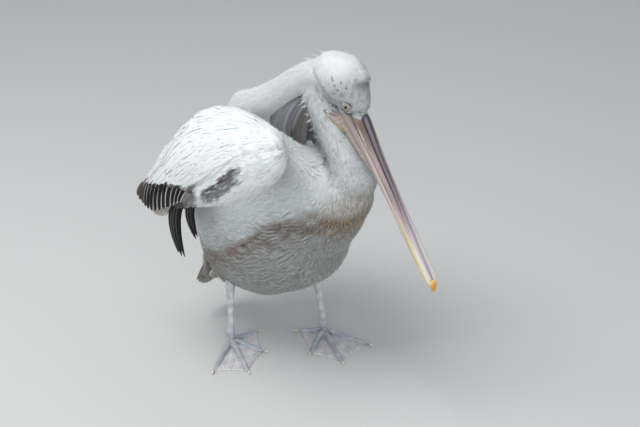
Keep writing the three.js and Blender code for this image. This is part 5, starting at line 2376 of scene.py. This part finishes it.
@dataclass(frozen=True)
class Strands:
    """Long white coverts in ordered runs over a wing's outer face, each run ending at the hem.

    Attributes:
        side: whose wing.
        runs: how many runs lie between two of the wing's streaks.
        ahead: how many runs lie before the first streak.
        step: distance between the feathers of a run in mm.
        reach: length of a feather.
        height: of the runs over the skin.
        pace: distance between the points of a run in mm.
        segments: how many such paces a run has.
        rows: how many rows of vertices lie along a feather.
        shortest: length below which a feather is left out.
    """
    side: Side
    runs: int = 7
    ahead: int = 8
    step: float = 66.0
    reach: float = 128.0
    height: float = 6.0
    pace: float = 4.0
    segments: int = 84
    rows: int = 14
    shortest: float = 16.0

    def starts(self) -> np.ndarray:
        """Returns where each run begins, from the wing's upper edge forwards."""
        heads = np.array([streak[0] for streak in RIGHT_LINES.streaks], float)
        knots = np.arange(len(heads))
        place = np.arange(-self.ahead, self.runs * (len(heads) - 1) + 1) / self.runs
        inside = np.stack([np.interp(place, knots, heads[:, axis]) for axis in range(3)], 1)
        before = np.minimum(place, 0)[:, None] * (heads[1] - heads[0])
        return self.side.turned(inside + before)

    def over_hem(self, places: np.ndarray) -> tuple[np.ndarray, np.ndarray]:
        """Returns the height over the hem and the x on the right wing of places in rows."""
        place = self.side.brought(places.reshape(-1, 3)).reshape(places.shape)
        return place[..., 2] - hem_height(place[..., 0]), place[..., 0]

    def cut(self, path: np.ndarray, rng: np.random.Generator) -> tuple[np.ndarray, np.ndarray]:
        """Divides the runs into feathers, the last of each run ending at the hem.

        Args:
            path: (runs, points, 3) the runs in stance millimetres.
            rng: of the piece.

        Returns:
            The run of each feather, and its rows' places along the run in paces.
        """
        over, _ = self.over_hem(path)
        runs, spots = [], []
        for run, heights in enumerate(over):
            past = np.nonzero(heights < 0)[0]
            last = (past[0] if len(past) else self.segments) * self.pace + rng.uniform(-7, 7)
            begin = -rng.uniform(0, self.step)
            while begin < last - self.shortest:
                finish = min(begin + self.reach * rng.uniform(0.85, 1.15), last)
                rows = np.linspace(max(begin, 0), finish, self.rows) / self.pace
                runs.append(run)
                spots.append(np.clip(rows, 0, self.segments - 0.01))
                begin += self.step * rng.uniform(0.85, 1.15)
        return np.array(runs)[:, None], np.array(spots)

    def build(self, skin: Skin) -> None:
        """Makes the piece.

        Args:
            skin: what the runs lie on.
        """
        rng = np.random.default_rng(SEED + 90)
        starts = self.starts()
        count, none = len(starts), np.zeros(len(starts))
        path, sides, tops = lay(skin, starts, none + self.segments * self.pace, none + self.height, none,
                                none, self.segments)
        gap = np.empty(path.shape[:2])
        for run in range(count - 1):
            apart = np.linalg.norm(path[run][:, None] - path[run + 1][None], axis=2).min(1)
            gap[run] = np.clip(apart, 2.5, 9.0)
        gap[-1] = gap[-2]
        runs, spots = self.cut(path, rng)
        base, part = np.floor(spots).astype(int), (spots % 1)[..., None]
        centre = path[runs, base] * (1 - part) + path[runs, base + 1] * part
        across, out = unit(sides[runs, base]), unit(tops[runs, base])
        along = np.linspace(0, 1, self.rows)
        rise = np.interp(along, (0, 0.3, 1), (-3.0, -0.6, 0.9)) + rng.normal(0, 0.25, (len(runs), 1))
        centre = centre + out * rise[..., None]
        across = unit(across + out * (-0.12 * self.side.sign))
        out = np.cross(unit(np.gradient(centre, axis=1)), across)
        out = out * np.sign((out * tops[runs, base]).sum(-1, keepdims=True))
        outline = np.interp(along, (0, 0.15, 0.55, 0.82, 0.94, 1), (0.5, 0.85, 1.0, 0.86, 0.5, 0.05))
        half = gap[runs, base] * 0.98 * outline[None]
        colours = np.tile(PAINT.white, (len(runs), self.rows, 3, 1))
        colours = colours * rng.normal(0.98, 0.03, (len(runs), 1, 1, 1))
        # painted shade along one edge of each strand, deeper towards the rear and the hem, for the shadow
        # lines between the overlapping coverts
        over, x = self.over_hem(centre)
        rear = smooth_step(60, -60, x) * (0.5 + 0.5 * smooth_step(80, 10, over))
        edge = 1 - (0.10 + 0.55 * rear * rng.uniform(0.3, 1.1, (len(runs), 1)))
        lane = 0 if self.side is Side.RIGHT else 2
        colours[:, :, lane] *= np.clip(edge, 0.3, 1)[..., None]
        colours[:, :, 2 - lane] *= (1 - 0.3 * (1 - edge))[..., None]
        name = f"covert_strands_{self.side.value}"
        mesh = blade_mesh(name, centre, across, out, half, colours, unwrap(centre[:, 0], self.side.wing),
                          True, 0.6, 0.16)
        present(link(mesh, name), FEATHERED, "plumage")


QUILLS_HEIGHT = 108      # the height down to which small feathers cover the tail's quills
# Loose feathers of the nape and the neck's bend, each as its root and its tip.
NAPE_WISPS = (
    ((104, -8, 627), (86, -20, 631)), ((108, -7, 629), (90, -20, 634)), ((113, 2, 631), (97, -7, 637)),
    ((148, -12, 645), (134, -19, 654)), ((144, -8, 645), (129, -13, 650)), ((128, 4, 639), (112, -2, 645)),
    ((-57, -18, 523), (-71, -24, 531)), ((-48, -19, 528), (-61, -25, 536)),
    ((-68, -18, 518), (-81, -23, 525)))


def wisps() -> None:
    """Makes the few loose feathers that stand out from the nape, the neck and the column's back."""
    rng = np.random.default_rng(SEED + 70)
    pairs = list(NAPE_WISPS)
    for z in np.repeat((558.0, 551.0, 543.0, 530.0, 519.0, 505.0, 492.0, 478.0), (4, 4, 2, 3, 2, 3, 2, 3)):
        root = np.array([throat_middle(z) - 22.0, -18.0, z]) + rng.normal(0, 2.4, 3)
        reach = np.array([-8.0, -6.5, -5.5]) * rng.uniform(0.6, 1.5)
        pairs.append((root, root + reach + rng.normal(0, 2.4, 3)))
    roots, tips = np.array(pairs, float).transpose(1, 0, 2)
    reach = tips - roots
    rows = 6
    along = np.linspace(0, 1, rows)
    view = np.array([0.57, -0.70, 0.42])
    out = unit(view - reach * ((reach @ view) / (reach ** 2).sum(1))[:, None])
    side = unit(np.cross(out, reach))
    bend = side * (np.linalg.norm(reach, axis=1) * rng.uniform(-0.12, 0.12, len(roots)))[:, None]
    centre = roots[:, None] + reach[:, None] * along[None, :, None]
    centre = centre + bend[:, None] * (4 * along * (1 - along))[None, :, None]
    half = np.interp(along, (0, 0.5, 1), (0.6, 0.5, 0.05)) * rng.uniform(0.8, 1.3, (len(roots), 1))
    colours = np.tile(PAINT.white, (len(roots), rows, 1))
    mesh = blade_mesh("loose_feathers", centre, np.repeat(side[:, None], rows, 1),
                      np.repeat(out[:, None], rows, 1), half, colours,
                      unwrap(roots, Region.NECK_UPPER), False, 0.5)
    present(link(mesh, "loose_feathers"), FEATHERED, "plumage")


def fold_style(roots: np.ndarray, rng: np.random.Generator) -> Style:
    """Grey down in the fold of the neck.

    Args:
        roots: where the feathers grow.
        rng: of the coat.

    Returns:
        How they grow.
    """
    count = len(roots)
    return Style(
        length=rng.normal(16, 3, count), width=rng.normal(5, 1, count), rise=rng.normal(2.5, 0.5, count),
        scatter=np.full(count, 0.2), curl=np.full(count, 0.2), dark=rng.uniform(0, 0.5, count))


def bare_face(roots: np.ndarray) -> np.ndarray:
    """Returns which roots on the head and throat are clear of the bare skin."""
    x, y, z = roots.T
    inside = in_outline(x, z, Face.OUTLINE) & (np.abs(y) > 7)
    from_eye = np.stack([x - Eye.centre[0], np.abs(y) - 30, z - Eye.centre[2]], 1)
    return ~(inside | (np.linalg.norm(from_eye, axis=1) < Eye.bare))


def right_half(roots: np.ndarray) -> np.ndarray:
    """Returns which roots are on the bird's right."""
    return roots[:, 1] < 0


def left_half(roots: np.ndarray) -> np.ndarray:
    """Returns which roots are on the bird's left."""
    return roots[:, 1] >= 0


def over_tail(roots: np.ndarray) -> np.ndarray:
    """Returns which roots on the tail lie over the long feathers' quills."""
    return roots[:, 2] > QUILLS_HEIGHT


NECK = (3, False, "plumage")                 # segments, ridge and slot of the short velvety coats
COATS = (
    Coat("coat_head", (Region.HEAD,), *NECK, 1.25, head_style, bare_face, 0.6),
    Coat("coat_neck_upper", (Region.NECK_UPPER,), *NECK, 1.6, neck_style, None, 0.78),
    Coat("coat_neck_lower", (Region.NECK_LOWER,), *NECK, 1.7, neck_style, None, 0.78),
    Coat("coat_throat", (Region.THROAT,), *NECK, 1.45, throat_style, bare_face, 0.65),
    Coat("coat_fold", (Region.FOLD,), 3, False, "shaded_plumage", 3.0, fold_style),
    *(Coat(f"coat_trunk_{side.value}", (Region.TRUNK,), 4, False, "plumage", 2.6, trunk_style, half, 0.7,
           belly_relief) for side, half in ((Side.RIGHT, right_half), (Side.LEFT, left_half))),
    Coat("coat_tail", (Region.TAIL,), 4, True, "plumage", 3.4, tail_style, over_tail, 0.75),
    *(Coat(f"coverts_{side.value}", (side.wing,), 7, True, "plumage", 5.0, covert_style, over_hem, 0.7)
      for side in Side),
    *(Coat(f"forewing_{side.value}", (side.wing,), 5, True, "plumage", 4.2, forewing_style, under_hem, 0.72,
           whole=True) for side in Side),
)


def main() -> None:
    """Builds the bird, then the stage."""
    logging.basicConfig(level=logging.INFO, format="%(message)s")
    skin = Skin()
    skin.dress()
    for index, coat in enumerate(COATS):
        grow(skin, coat, index)
    for side in Side:
        Strands(side).build(skin)
        flight_feathers(side)
    tail_feathers()
    fold_feathers()
    wisps()
    Bill().build()
    Face().build()
    for side in Side:
        Eye(side).build()
    for foot in FEET:
        foot.build()
    Stage().build()


if __name__ == "__main__":
    main()
